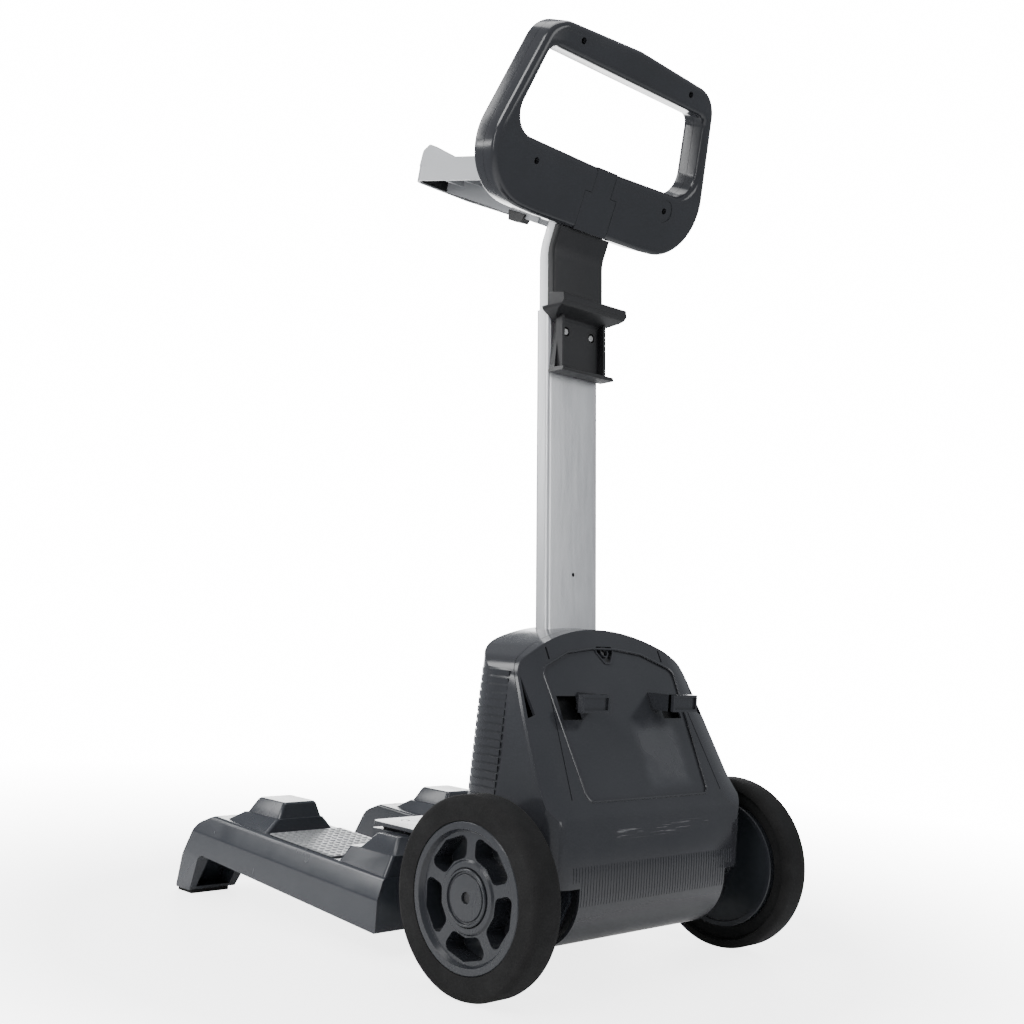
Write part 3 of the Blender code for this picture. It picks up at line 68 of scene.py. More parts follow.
CAD_BOX = [[float(v) for v in corner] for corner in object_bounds()]
NODES = frame["nodes"]
scene = bpy.context.scene

# ---------------------------------------------------------------- camera, floor and light
AZIMUTH, PITCH, ROLL = math.radians(134.740), math.radians(3.970), math.radians(3.672)
forward = Vector((-math.sin(AZIMUTH) * math.cos(PITCH), math.cos(AZIMUTH) * math.cos(PITCH),
                  math.sin(PITCH)))
level = Vector((math.cos(AZIMUTH), math.sin(AZIMUTH), 0.0))
upright = level.cross(forward)
right = level * math.cos(ROLL) + upright * math.sin(ROLL)
up = upright * math.cos(ROLL) - level * math.sin(ROLL)
lens_data = bpy.data.cameras.new("camera")
lens_data.lens = 48.857
lens_data.sensor_width = 36.0
lens_data.clip_start = 0.02
camera = bpy.data.objects.new("camera", lens_data)
camera.matrix_world = Matrix.Translation((1.1380, 1.1660, 0.3669)) @ Matrix(
    (right, up, -forward)).transposed().to_4x4()
scene.collection.objects.link(camera)
scene.camera = camera


def lamp(name, place, aim, size, power, colour=(1.0, 1.0, 1.0)):
    data = bpy.data.lights.new(name, "AREA")
    data.shape = "RECTANGLE"
    data.size, data.size_y = size
    data.energy = power
    data.color = colour
    made = bpy.data.objects.new(name, data)
    made.location = place
    made.rotation_euler = (Vector(aim) - Vector(place)).to_track_quat("-Z", "Y").to_euler()
    made.visible_camera = False
    scene.collection.objects.link(made)
    return made


MIDDLE = (0.0, 0.05, 0.45)
lamp("key", (2.6, 0.2, 2.3), MIDDLE, (1.6, 1.2), 62.0)
lamp("fill", (-0.9, 3.2, 1.3), MIDDLE, (1.8, 1.6), 30.0)
lamp("top", (-0.2, -0.2, 3.2), MIDDLE, (2.0, 2.0), 42.0)
lamp("front_left", (1.35, -2.10, 2.05), MIDDLE, (0.8, 1.6), 30.0)
lamp("low_left", (2.30, -2.30, 1.05), (0.15, -0.1, 0.1), (1.3, 0.28), 11.0)
lamp("side_strip", (3.0, 0.25, 0.50), MIDDLE, (0.30, 1.5), 13.0)
lamp("behind", (-2.2, -2.1, 0.75), MIDDLE, (2.4, 1.3), 60.0)

world = bpy.data.worlds.new("studio")
world.use_nodes = True
sky = world.node_tree
soft_sky = sky.nodes["Background"]
soft_sky.inputs["Color"].default_value = (0.90, 0.94, 1.0, 1.0)
soft_sky.inputs["Strength"].default_value = 0.42
white_sky = sky.nodes.new("ShaderNodeBackground")
white_sky.inputs["Color"].default_value = (1.0, 1.0, 1.0, 1.0)
white_sky.inputs["Strength"].default_value = 16.0
seen = sky.nodes.new("ShaderNodeLightPath")
blend_sky = sky.nodes.new("ShaderNodeMixShader")
sky.links.new(seen.outputs["Is Camera Ray"], blend_sky.inputs["Fac"])
sky.links.new(soft_sky.outputs[0], blend_sky.inputs[1])
sky.links.new(white_sky.outputs[0], blend_sky.inputs[2])
sky.links.new(blend_sky.outputs[0], sky.nodes["World Output"].inputs["Surface"])
scene.world = world


# ---------------------------------------------------------------- materials
def new_material(name, colour, roughness, metallic=0.0):
    made = bpy.data.materials.new(name)
    made.use_nodes = True
    shader = made.node_tree.nodes["Principled BSDF"]
    shader.inputs["Base Color"].default_value = (*colour, 1.0)
    shader.inputs["Roughness"].default_value = roughness
    shader.inputs["Metallic"].default_value = metallic
    return made, made.node_tree, shader


def noise(tree, scale, detail=4.0, stretch=(1.0, 1.0, 1.0), rough=0.55):
    """Noise in the object's own metres, stretched along the axes."""
    place = tree.nodes.new("ShaderNodeTexCoord")
    turn = tree.nodes.new("ShaderNodeMapping")
    turn.inputs["Scale"].default_value = stretch
    made = tree.nodes.new("ShaderNodeTexNoise")
    made.inputs["Scale"].default_value = scale
    made.inputs["Detail"].default_value = detail
    made.inputs["Roughness"].default_value = rough
    tree.links.new(place.outputs["Object"], turn.inputs["Vector"])
    tree.links.new(turn.outputs["Vector"], made.inputs["Vector"])
    return made.outputs["Fac"]


def ramp(tree, source, low, high, start=0.0, end=1.0):
    """Grey level from low to high as source goes from start to end."""
    made = tree.nodes.new("ShaderNodeMapRange")
    made.inputs["From Min"].default_value = start
    made.inputs["From Max"].default_value = end
    made.inputs["To Min"].default_value = low
    made.inputs["To Max"].default_value = high
    tree.links.new(source, made.inputs["Value"])
    return made.outputs["Result"]


def tint(tree, source, first, second, start=0.35, end=0.65):
    made = tree.nodes.new("ShaderNodeValToRGB")
    made.color_ramp.elements[0].position = start
    made.color_ramp.elements[0].color = (*first, 1.0)
    made.color_ramp.elements[1].position = end
    made.color_ramp.elements[1].color = (*second, 1.0)
    tree.links.new(source, made.inputs["Fac"])
    return made.outputs["Color"]


def bump(tree, shader, height, distance, strength=1.0, under=None):
    made = tree.nodes.new("ShaderNodeBump")
    made.inputs["Distance"].default_value = distance
    made.inputs["Strength"].default_value = strength
    tree.links.new(height, made.inputs["Height"])
    if under is not None:
        tree.links.new(under, made.inputs["Normal"])
    tree.links.new(made.outputs["Normal"], shader.inputs["Normal"])
    return made.outputs["Normal"]


def plastic(name, colour, roughness, spread=0.05, grain=0.00006, grain_scale=900.0, coat=0.0,
            lift=1.18):
    """Moulded plastic: faint tone and gloss variation, a fine grain and a slow surface waviness."""
    made, tree, shader = new_material(name, colour, roughness)
    soft = noise(tree, 9.0, 5.0)
    shade = tuple(min(1.0, c * lift) for c in colour)
    tree.links.new(tint(tree, soft, colour, shade), shader.inputs["Base Color"])
    smear = noise(tree, 26.0, 6.0, (1.0, 1.0, 0.35))
    tree.links.new(ramp(tree, smear, roughness - spread, roughness + spread, 0.3, 0.7),
                   shader.inputs["Roughness"])
    wave = bump(tree, shader, noise(tree, 14.0, 2.0), 0.0003, 0.4)
    bump(tree, shader, noise(tree, grain_scale, 2.0), grain, 1.0, wave)
    if coat:
        shader.inputs["Coat Weight"].default_value = coat
        shader.inputs["Coat Roughness"].default_value = 0.08
    return made


def brushed(name, colour, roughness, stretch, metallic=1.0):
    made, tree, shader = new_material(name, colour, roughness, metallic)
    lines = noise(tree, 260.0, 3.0, stretch)
    tree.links.new(ramp(tree, lines, roughness - 0.06, roughness + 0.08, 0.3, 0.7),
                   shader.inputs["Roughness"])
    cloud = noise(tree, 5.0, 3.0)
    tree.links.new(tint(tree, cloud, tuple(c * 0.95 for c in colour), colour),
                   shader.inputs["Base Color"])
    bump(tree, shader, lines, 0.00003, 0.6)
    return made


def foam(name, colour):
    """Closed-cell foam rubber: pitted, matte and slightly dusty."""
    made, tree, shader = new_material(name, colour, 0.88)
    cells = noise(tree, 620.0, 3.0, rough=0.7)
    patches = noise(tree, 30.0, 4.0)
    tree.links.new(tint(tree, patches, colour, tuple(c * 1.5 + 0.004 for c in colour), 0.4, 0.72),
                   shader.inputs["Base Color"])
    shader.inputs["Specular IOR Level"].default_value = 0.3
    first = bump(tree, shader, cells, 0.0005, 0.8)
    bump(tree, shader, noise(tree, 120.0, 3.0), 0.0005, 0.5, first)
    return made


GLOSS = plastic("gloss_charcoal", (0.0270, 0.0278, 0.0318), 0.17, 0.05, 0.00001)


def mask_box(tree, low, high, soft):
    """One inside the world box from low to high, fading to nothing over soft metres."""
    place = tree.nodes.new("ShaderNodeTexCoord")
    split = tree.nodes.new("ShaderNodeSeparateXYZ")
    tree.links.new(place.outputs["Object"], split.inputs[0])
    result = None
    for axis, a, b in zip("XYZ", low, high):
        for start, end in ((a - soft, a), (b + soft, b)):
            part = ramp(tree, split.outputs[axis], 0.0, 1.0, start, end)
            if result is None:
                result = part
                continue
            times = tree.nodes.new("ShaderNodeMath")
            times.operation = "MULTIPLY"
            tree.links.new(result, times.inputs[0])
            tree.links.new(part, times.inputs[1])
            result = times.outputs[0]
    return result


def worn(name, colour, roughness):
    """The gloss plastic with faint scuffs under the crease and a dusty smudge in the recess."""
    made = plastic(name, colour, roughness, 0.05, 0.00001)
    tree, shader = made.node_tree, made.node_tree.nodes["Principled BSDF"]
    base = shader.inputs["Base Color"].links[0].from_socket
    rough = shader.inputs["Roughness"].links[0].from_socket
    for scale, stretch, low, high, soft, amount, tone, start, end in (
            (90.0, (0.25, 1.0, 6.0), (-0.085, 0.25, 0.150), (0.060, 0.30, 0.156), 0.004, 0.5,
             (0.30, 0.30, 0.31), 0.56, 0.66),
            (16.0, (1.0, 1.0, 1.0), (-0.070, 0.20, 0.203), (-0.016, 0.30, 0.246), 0.014, 0.55,
             (0.075, 0.077, 0.083), 0.30, 0.50)):
        area = mask_box(tree, low, high, soft)
        marks = ramp(tree, noise(tree, scale, 3.0, stretch), 0.0, amount, start, end)
        times = tree.nodes.new("ShaderNodeMath")
        times.operation = "MULTIPLY"
        tree.links.new(area, times.inputs[0])
        tree.links.new(marks, times.inputs[1])
        blend = tree.nodes.new("ShaderNodeMix")
        blend.data_type = "RGBA"
        tree.links.new(times.outputs[0], blend.inputs["Factor"])
        tree.links.new(base, blend.inputs["A"])
        blend.inputs["B"].default_value = (*tone, 1.0)
        base = blend.outputs["Result"]
        add = tree.nodes.new("ShaderNodeMath")
        add.operation = "MULTIPLY_ADD"
        tree.links.new(times.outputs[0], add.inputs[0])
        add.inputs[1].default_value = 0.22
        tree.links.new(rough, add.inputs[2])
        rough = add.outputs[0]
    tree.links.new(base, shader.inputs["Base Color"])
    tree.links.new(rough, shader.inputs["Roughness"])
    return made


COVER = worn("gloss_charcoal_worn", (0.0270, 0.0278, 0.0318), 0.17)
SATIN = plastic("satin_charcoal", (0.025, 0.0275, 0.0335), 0.24, 0.06, 0.00003)
MATTE = plastic("matte_black", (0.0115, 0.0115, 0.0128), 0.44, 0.06, 0.00006)
SILVER = brushed("anodised_aluminium", (0.74, 0.745, 0.755), 0.40, (1.0, 1.0, 0.01))
STEEL = brushed("zinc_plated_steel", (0.55, 0.55, 0.54), 0.30, (1.0, 1.0, 1.0))
HUB = plastic("hub_grey_plastic", (0.0190, 0.0206, 0.0245), 0.24, 0.05, 0.00002)
FOAM = foam("black_foam_rubber", (0.0050, 0.0048, 0.0048))
RUBBER = foam("black_rubber", (0.012, 0.012, 0.012))
GRIP = plastic("grey_grip_sheet", (0.20, 0.205, 0.21), 0.32, 0.06, 0.00010)
LIGHT = plastic("light_grey_plastic", (0.43, 0.44, 0.455), 0.38, 0.05, 0.00006, lift=1.06)
NYLON = plastic("natural_nylon", (0.55, 0.54, 0.50), 0.45)
BY_SLOT = {"gloss_charcoal": GLOSS, "satin_charcoal": SATIN, "matte_black": MATTE,
           "anodised_aluminium": SILVER, "zinc_steel": STEEL, "foam_tyre": FOAM,
           "foot_rubber": RUBBER, "grip_sheet": GRIP, "light_grey": LIGHT, "natural_nylon": NYLON}
SLOT_OF = {row["node"]: row["material_slot"] for row in frame["record"]["subparts"]}

floor_paint, floor_tree, floor_shader = new_material("pale_floor", (0.93, 0.93, 0.93), 0.55)
floor_shader.inputs["Emission Color"].default_value = (1.0, 1.0, 1.0, 1.0)
watched = floor_tree.nodes.new("ShaderNodeLightPath")
floor_tree.links.new(ramp(floor_tree, watched.outputs["Is Camera Ray"], 0.1, 3.4),
                     floor_shader.inputs["Emission Strength"])
# The floor fades into the white surround with distance from the object.
spot = floor_tree.nodes.new("ShaderNodeNewGeometry")
reach = floor_tree.nodes.new("ShaderNodeVectorMath")
reach.operation = "LENGTH"
floor_tree.links.new(spot.outputs["Position"], reach.inputs[0])
gone = floor_tree.nodes.new("ShaderNodeBsdfTransparent")
fade = floor_tree.nodes.new("ShaderNodeMixShader")
floor_tree.links.new(ramp(floor_tree, reach.outputs["Value"], 0.0, 1.0, 0.45, 1.5), fade.inputs["Fac"])
floor_tree.links.new(floor_shader.outputs[0], fade.inputs[1])
floor_tree.links.new(gone.outputs[0], fade.inputs[2])
floor_tree.links.new(fade.outputs[0], floor_tree.nodes["Material Output"].inputs["Surface"])
floor_shape = bmesh.new()
bmesh.ops.create_grid(floor_shape, x_segments=1, y_segments=1, size=12.0)
floor_mesh = bpy.data.meshes.new("floor")
floor_shape.to_mesh(floor_mesh)
floor_shape.free()
floor = bpy.data.objects.new("floor", floor_mesh)
floor.location = (0.0, 0.0, CAD_BOX[0][2])
floor.data.materials.append(floor_paint)
scene.collection.objects.link(floor)


# ---------------------------------------------------------------- sizes, as the CAD has them
GAP = 0.0003                # clearance between pieces that touch
PLAY = 0.0005               # running clearance of turning pieces

WHEEL_R = 0.095             # tread radius, also the axle height
WHEEL_WIDTH = 0.0363
TRACK_OUT = 0.2182          # outer face of a wheel from the centre plane
RIM_R = 0.0706
CAP_R = 0.027
HUB_BOSS_R = 0.033
SPOKES = 5
SPOKE_WIDTH = 0.0115
POCKET_FILLET = 0.0065
AXLE_R = 0.006

MAST_WIDTH = 0.0832
MAST_DEPTH = 0.020
MAST_CORNER = 0.005
TUBE_WALL = 0.0016
MAST_LEAN = math.radians(4.43)
MAST_BACK_Y = -0.0517       # back face of the mast where it meets the ground plane
MAST_FOOT = 0.062           # along the mast, from the ground plane
MAST_TOP = 0.703
MAST_OVERLAP = 0.080        # how far the upper tube reaches into the lower one
BEND_AT = 0.7706            # along the mast
BEND_RADIUS = 0.050

HANDLE_TILT = math.radians(18.7)
HANDLE_RISE = 0.083         # from the bend to the lower handle screws
HANDLE_DEPTH = 0.037
HANDLE_EDGE = 0.007         # rounding of the grip
HANDLE_WALL = 0.003
HANDLE_TOP = 0.149
HANDLE_BOTTOM = -0.0535
HANDLE_TOP_HALF = 0.1375
HANDLE_BOTTOM_HALF = 0.1915
GRIP_TOP = 0.1165
GRIP_BOTTOM = 0.020
GRIP_TOP_HALF = 0.131
GRIP_BOTTOM_HALF = 0.1545
NECK_INSET = 0.0145         # handle rear face to the neck tube's back face
NECK_TOP = -0.006           # end of the neck tube inside the handle
INSERT_HALF = 0.0262
INSERT_STEP_HALF = 0.0158
INSERT_STEP = -0.010
COVER_PROUD = 0.009         # thickness of the neck cover

SHELL_WALL = 0.0035         # moulded shells of the lower housing
COVER_SLOPE = math.radians(27.3)
COVER_LOW_Y = 0.0434        # outer face of the sloped panel at COVER_LOW_Z
COVER_LOW_Z = 0.183
CREASE_Z = 0.168
CREASE_BLEND = 0.010        # the crease is eased over this height each way
COVER_HEAD = 0.360          # the cover's face is drawn this high, then cut by its arch
BARREL_R = 0.058            # rolled-under bottom of the rear cover
BARREL_Y = -0.0025
BARREL_HALF = 0.117
ARCH_TOP = 0.350
ARCH_RADIUS = 0.270
SHOULDER_R = 0.030
HOUSING_FRONT = -0.108
HOUSING_CORNER = 0.055
HOUSING_TOP_HALF = 0.1325   # front part of the housing
HOUSING_LOW_HALF = 0.1416
COVER_TOP_HALF = 0.1328     # rear edge of the housing
COVER_LOW_HALF = 0.1618
SEAM = 0.0125               # depth of the cover's side flange
SEAM_GAP = 0.0007
STRIP_TOP_X = 0.1025        # the line where the cover's side strips start to fall back
STRIP_TOP_Z = 0.308
STRIP_LOW_X = 0.1255
STRIP_LOW_Z = 0.151
STRIP_FALL = 0.0088
VENT_RIM = 0.0028

HOOK_REACH = 0.0249         # outer face of the cable hooks
HOOK_TOP = 0.286
HOOK_HEIGHT = 0.018
HOOK_INNER = 0.0519
HOOK_TIP = 0.0932

CHASSIS_HALF = 0.120
CHASSIS_TOP = 0.122
CHASSIS_FRONT = -0.236
CHASSIS_REAR = 0.046
CHASSIS_WALL = 0.004
BUSH_R = 0.0095

ARM_OUT = 0.190             # the two deck arms, each from ARM_IN to ARM_OUT
ARM_IN = 0.072
ARM_FLAT = 0.183            # outer limit of an arm's top face
ARM_FRONT = -0.540
ARM_REAR = -0.154
ARM_WALL = 0.0035
DECK_TILT = math.radians(3.0)
DECK_TOP = 0.0943           # height of the top face at DECK_TOP_Y
DECK_TOP_Y = -0.372
SHOULDER_DROP = 0.0225      # the arm's sloped outer edge
SKIRT_SLOPE = math.radians(4.5)
SKIRT_Z = 0.0266            # lower edge of the skirt at the rear
LEG_BACK = -0.510
NOSE_START = -0.466         # the arm's top face falls away in front of this
NOSE_DROP = 0.0115
LEG_TAPER = 0.012
FOOT_T = 0.004
CHOCK_STEP_Z = 0.1085
CHOCK_TOP_Z = 0.1268
STOP_STEP_Z = 0.1035
STOP_TOP_Z = 0.1190
PAD_T = 0.0015

TRAY_HALF = 0.100
TRAY_TILT = math.radians(9.5)
TRAY_LENGTH = 0.178
TRAY_HEIGHT = 0.027
TRAY_WALL = 0.003
TRAY_HORN = 0.0155

AXLE_Y = -(ARM_FRONT + WHEEL_R) / 2        # puts the origin under the middle of the footprint
TIGHT = 0.00002                             # merge distance for welded points


FINE = 3                    # how many times finer than the CAD the arcs are drawn
SIDES = (("left", 1), ("right", -1))
FRESH = {}
tools = bpy.data.collections.new("work")
scene.collection.children.link(tools)


def empty(name, location, rotation=(0.0, 0.0, 0.0), parent=None):
    made = bpy.data.objects.new(name, None)
    made.location = location
    made.rotation_euler = rotation
    made.parent = parent
    tools.objects.link(made)
    return made


MAST_ROOT = (0.0, MAST_BACK_Y, 0.0)
ALONG = Vector((0.0, -math.sin(MAST_LEAN), math.cos(MAST_LEAN)))
BACKWARD = Vector((0.0, math.cos(MAST_LEAN), math.sin(MAST_LEAN)))
UP_HANDLE = Vector((0.0, math.sin(HANDLE_TILT), math.cos(HANDLE_TILT)))
OFF_HANDLE = Vector((0.0, math.cos(HANDLE_TILT), -math.sin(HANDLE_TILT)))

TUBE_INSET = TUBE_WALL + GAP                # upper tube inside the lower one
BEND_BACK = Vector(MAST_ROOT) + ALONG * BEND_AT - BACKWARD * TUBE_INSET
HANDLE_ROOT = BEND_BACK + UP_HANDLE * HANDLE_RISE + OFF_HANDLE * NECK_INSET

datum = empty("axle_datum", (0.0, AXLE_Y, 0.0))
mast_axis = empty("mast_axis", MAST_ROOT, (MAST_LEAN, 0.0, 0.0), datum)
handle_plane = empty("handle_plane", HANDLE_ROOT, (math.pi / 2 - HANDLE_TILT, 0.0, 0.0), datum)


# ---------------------------------------------------------------- modelling helpers
def place(made, paint, parent, location=(0, 0, 0), rotation=(0, 0, 0)):
    """Put a piece in the scene, or a cutter when it has no paint."""
    made.location = location
    made.rotation_euler = rotation
    made.parent = parent
    tools.objects.link(made)
    if paint is None:
        made.hide_render = True
    else:
        FRESH[made.name.split(".")[0]] = (made, paint)
    return made


def mesh_object(name, shape):
    bmesh.ops.remove_doubles(shape, verts=shape.verts, dist=TIGHT)
    bmesh.ops.recalc_face_normals(shape, faces=shape.faces)
    data = bpy.data.meshes.new(name)
    shape.to_mesh(data)
    shape.free()
    return bpy.data.objects.new(name, data)


def box(name, low, high):
    shape = bmesh.new()
    size = [high[i] - low[i] for i in range(3)]
    middle = [(high[i] + low[i]) / 2 for i in range(3)]
    matrix = Matrix.Translation(middle) @ Matrix.Diagonal((*size, 1.0))
    bmesh.ops.create_cube(shape, size=1.0, matrix=matrix)
    return mesh_object(name, shape)


def rods(name, radius, start, end, axis, centres, sides=24):
    """Parallel cylinders in one mesh, each at the two other coordinates in centres."""
    shape = bmesh.new()
    sides = sides * 2
    turn = {"X": Matrix.Rotation(math.pi / 2, 4, "Y"),
            "Y": Matrix.Rotation(math.pi / 2, 4, "X"),
            "Z": Matrix.Identity(4)}[axis]
    middle = (start + end) / 2
    for centre in centres:
        spot = {"X": (middle, centre[0], centre[1]),
                "Y": (centre[0], middle, centre[1]),
                "Z": (centre[0], centre[1], middle)}[axis]
        bmesh.ops.create_cone(shape, cap_ends=True, segments=sides, radius1=radius, radius2=radius,
                              depth=abs(end - start), matrix=Matrix.Translation(spot) @ turn)
    made = mesh_object(name, shape)
    smooth(made)
    return made


def rod(name, radius, start, end, axis="Z", centre=(0.0, 0.0), sides=24):
    return rods(name, radius, start, end, axis, [centre], sides)


def smooth(made, angle=35.0):
    made.data.shade_smooth()
    made.data.set_sharp_from_angle(angle=math.radians(angle))


def rounded(corners, steps=5):
    """Outline through corners (x, y, radius) with each corner rounded by an arc."""
    outline = []
    steps = steps * FINE
    count = len(corners)
    for i, (x, y, radius) in enumerate(corners):
        here = Vector((x, y))
        before = Vector(corners[i - 1][:2]) - here
        after = Vector(corners[(i + 1) % count][:2]) - here
        if radius <= 0.0:
            outline.append((x, y))
            continue
        bend = before.angle(after)
        back = radius / math.tan(bend / 2)
        centre = here + (before.normalized() + after.normalized()).normalized() * (
            radius / math.sin(bend / 2))
        first = here + before.normalized() * back - centre
        last = here + after.normalized() * back - centre
        sweep = first.angle_signed(last)
        for k in range(steps + 1):
            spoke = first.copy()
            spoke.rotate(Matrix.Rotation(-sweep * k / steps, 2))
            outline.append(tuple(centre + spoke))
    return outline


def plate(name, outlines, low, high, bevel=0.0, offset=0.0, bevel_steps=3):
    """A flat sheet from outlines in the local XY plane, between two heights in local Z."""
    curve = bpy.data.curves.new(name, "CURVE")
    curve.dimensions = "2D"
    curve.fill_mode = "BOTH"
    curve.extrude = (high - low) / 2 - bevel
    curve.bevel_depth = bevel
    curve.bevel_resolution = bevel_steps * FINE
    curve.offset = offset - bevel
    for outline in outlines:
        spline = curve.splines.new("POLY")
        spline.points.add(len(outline) - 1)
        for point, (x, y) in zip(spline.points, outline):
            point.co = (x, y, 0.0, 1.0)
        spline.use_cyclic_u = True
    carrier = bpy.data.objects.new(name + "_curve", curve)
    tools.objects.link(carrier)
    bpy.context.view_layer.update()
    evaluated = carrier.evaluated_get(bpy.context.evaluated_depsgraph_get())
    data = bpy.data.meshes.new_from_object(evaluated)
    shape = bmesh.new()
    shape.from_mesh(data)
    bmesh.ops.translate(shape, verts=shape.verts, vec=(0.0, 0.0, (low + high) / 2))
    bpy.data.objects.remove(carrier, do_unlink=True)
    bpy.data.curves.remove(curve)
    bpy.data.meshes.remove(data)
    return mesh_object(name, shape)


def loft(name, rings):
    """A closed solid through rings of equal point count, with a flat cap at each end."""
    shape = bmesh.new()
    layers = [[shape.verts.new(point) for point in ring] for ring in rings]
    for lower, upper in zip(layers, layers[1:]):
        for i in range(len(lower)):
            shape.faces.new((lower[i - 1], lower[i], upper[i], upper[i - 1]))
    shape.faces.new(layers[0])
    shape.faces.new(layers[-1])
    return mesh_object(name, shape)


def turned(name, profile, sides=48, closed=False):
    """A turned solid from (radius, height) points, run from top to bottom on the outside."""
    shape = bmesh.new()
    spots = [shape.verts.new((radius, 0.0, height)) for radius, height in profile]
    for first, second in zip(spots, spots[1:]):
        shape.edges.new((first, second))
    if closed:
        shape.edges.new((spots[-1], spots[0]))
    data = bpy.data.meshes.new(name)
    shape.to_mesh(data)
    shape.free()
    made = bpy.data.objects.new(name, data)
    screw = made.modifiers.new("turn", "SCREW")
    screw.steps = sides * FINE
    screw.render_steps = sides * FINE
    screw.use_merge_vertices = True
    screw.merge_threshold = TIGHT
    screw.use_smooth_shade = True
    return made


def combine(target, tool, operation):
    step = target.modifiers.new(operation.lower(), "BOOLEAN")
    step.operation = operation
    step.solver = "EXACT"
    step.object = tool
    return target


def cut(target, *cutters):
    for tool in cutters:
        combine(target, tool, "DIFFERENCE")


def join(target, *pieces):
    for piece in pieces:
        combine(target, piece, "UNION")


def trim(target, *limits):
    for limit in limits:
        combine(target, limit, "INTERSECT")


# Turns that stand a flat outline up: its plane is YZ (extruded along X) or XZ (along -Y).
FACING_X = (math.pi / 2, 0.0, math.pi / 2)
FACING_Y = (math.pi / 2, 0.0, 0.0)


def helper(made, parent=None, location=(0, 0, 0), rotation=(0, 0, 0)):
    return place(made, None, parent or datum, location, rotation)


def drill(name, radius, start, end, axis, centre, sides, parent=None):
    """A cylinder that cuts or joins another piece, and is never shown itself."""
    return helper(rod(name, radius, start, end, axis, centre, sides), parent)


def screw_piece(name, head_r, head_h, shank_r, length, paint, parent, location, rotation):
    """A pan head screw whose head's top is at its origin and whose shank runs along -Z."""
    profile = [(0.0, 0.0), (head_r * 0.8, 0.0), (head_r, -head_h * 0.5), (head_r, -head_h),
               (shank_r, -head_h), (0.0, -length)]
    return place(turned(name, profile, 10), paint, parent, location, rotation)


# ---------------------------------------------------------------- wheels
def wheel(side, sign):
    """One wheel: foam tyre, five-spoke hub, centre cap and axle clip."""
    axis = empty("wheel_" + side + "_axis", (0.0, 0.0, WHEEL_R), (0, sign * math.pi / 2, 0), datum)
    half = WHEEL_WIDTH / 2
    middle = TRACK_OUT - half
    shoulder = 0.007
    arc = [math.radians(90 * k / 3) for k in range(4)]
    outer_shoulder = [(WHEEL_R - shoulder * (1 - math.sin(a)), half - shoulder * (1 - math.cos(a)))
                      for a in arc]
    inner_shoulder = [(WHEEL_R - shoulder * (1 - math.cos(a)), -half + shoulder * (1 - math.sin(a)))
                      for a in arc]
    seat = RIM_R + GAP
    profile = [(seat, half - 0.0015)] + outer_shoulder + inner_shoulder
    profile += [(WHEEL_R - 0.009, -half), (WHEEL_R - 0.011, -half + 0.007), (seat, -half + 0.007)]
    tyre = turned("tyre_" + side, profile, 48, closed=True)
    place(tyre, FOAM, axis, (0, 0, middle))

    face = half - 0.0015
    bore = AXLE_R + PLAY
    hub_profile = [(bore, face - 0.010), (CAP_R + GAP + 0.0006, face - 0.010),
                   (CAP_R + GAP + 0.0006, face - 0.003), (HUB_BOSS_R, face - 0.003),
                   (HUB_BOSS_R + 0.002, face - 0.005), (RIM_R - 0.010, face - 0.005),
                   (RIM_R - 0.007, face), (RIM_R - 0.001, face), (RIM_R, face - 0.001),
                   (RIM_R, -half + 0.001), (RIM_R - 0.001, -half), (RIM_R - 0.0055, -half),
                   (RIM_R - 0.0065, -half + 0.003), (0.016, -half + 0.003), (0.015, -half),
                   (bore, -half)]
    hub = turned("hub_" + side, hub_profile, 48, closed=True)
    place(hub, HUB, axis, (0, 0, middle))
    for k in range(SPOKES):
        inner, outer = HUB_BOSS_R + 0.004, RIM_R - 0.0115
        aim = 2 * math.pi * (k + 0.5) / SPOKES + math.pi * (1 + sign) / 2
        pocket = []
        for radius, turn in ((inner, -1), (outer, -1), (outer, 0), (outer, 1), (inner, 1), (inner, 0)):
            swing = math.pi / SPOKES - math.asin(SPOKE_WIDTH / 2 / radius)
            swing *= turn
            fillet = 0.0 if turn == 0 else POCKET_FILLET
            reach = radius / math.cos(swing / 2) if turn == 0 else radius
            pocket.append((reach * math.cos(aim + swing), reach * math.sin(aim + swing), fillet))
        name = "pocket_%s_%d" % (side, k + 1)
        tool = plate(name, [rounded(pocket, 3)], -half + 0.006, half + 0.01)
        helper(tool, axis, (0, 0, middle))
        cut(hub, tool)

    cap_floor = face - 0.0065
    cap_top = face - 0.0008
    cap_profile = [(0.0, cap_top - 0.0042), (0.0052, cap_top - 0.0042), (0.0055, cap_top - 0.001),
                   (0.0215, cap_top - 0.001), (0.0222, cap_top - 0.0024), (0.0238, cap_top - 0.0024),
                   (0.0245, cap_top), (CAP_R - 0.001, cap_top), (CAP_R, cap_top - 0.001),
                   (CAP_R, cap_floor), (CAP_R - 0.003, cap_floor),
                   (CAP_R - 0.003, cap_top - 0.0045), (0.008, cap_top - 0.0045),
                   (0.0075, cap_top - 0.0052), (0.0, cap_top - 0.0052)]
    cap = turned("hub_cap_" + side, cap_profile, 24)
    place(cap, HUB, axis, (0, 0, middle))

    clip_z = middle + face - 0.010 + GAP
    clip = turned("axle_clip_" + side, [(AXLE_R + GAP / 2, 0.0012), (0.011, 0.0012), (0.0125, 0.0004),
                                        (0.0125, 0.0), (AXLE_R + GAP / 2, 0.0)], 16, closed=True)
    place(clip, STEEL, axis, (0, 0, clip_z))
    return axis


wheel("left", 1)
wheel("right", -1)

AXLE_END = TRACK_OUT - 0.0015 - 0.0085
place(rod("axle", AXLE_R, -AXLE_END, AXLE_END, "X", (0.0, WHEEL_R), 24), STEEL, datum)


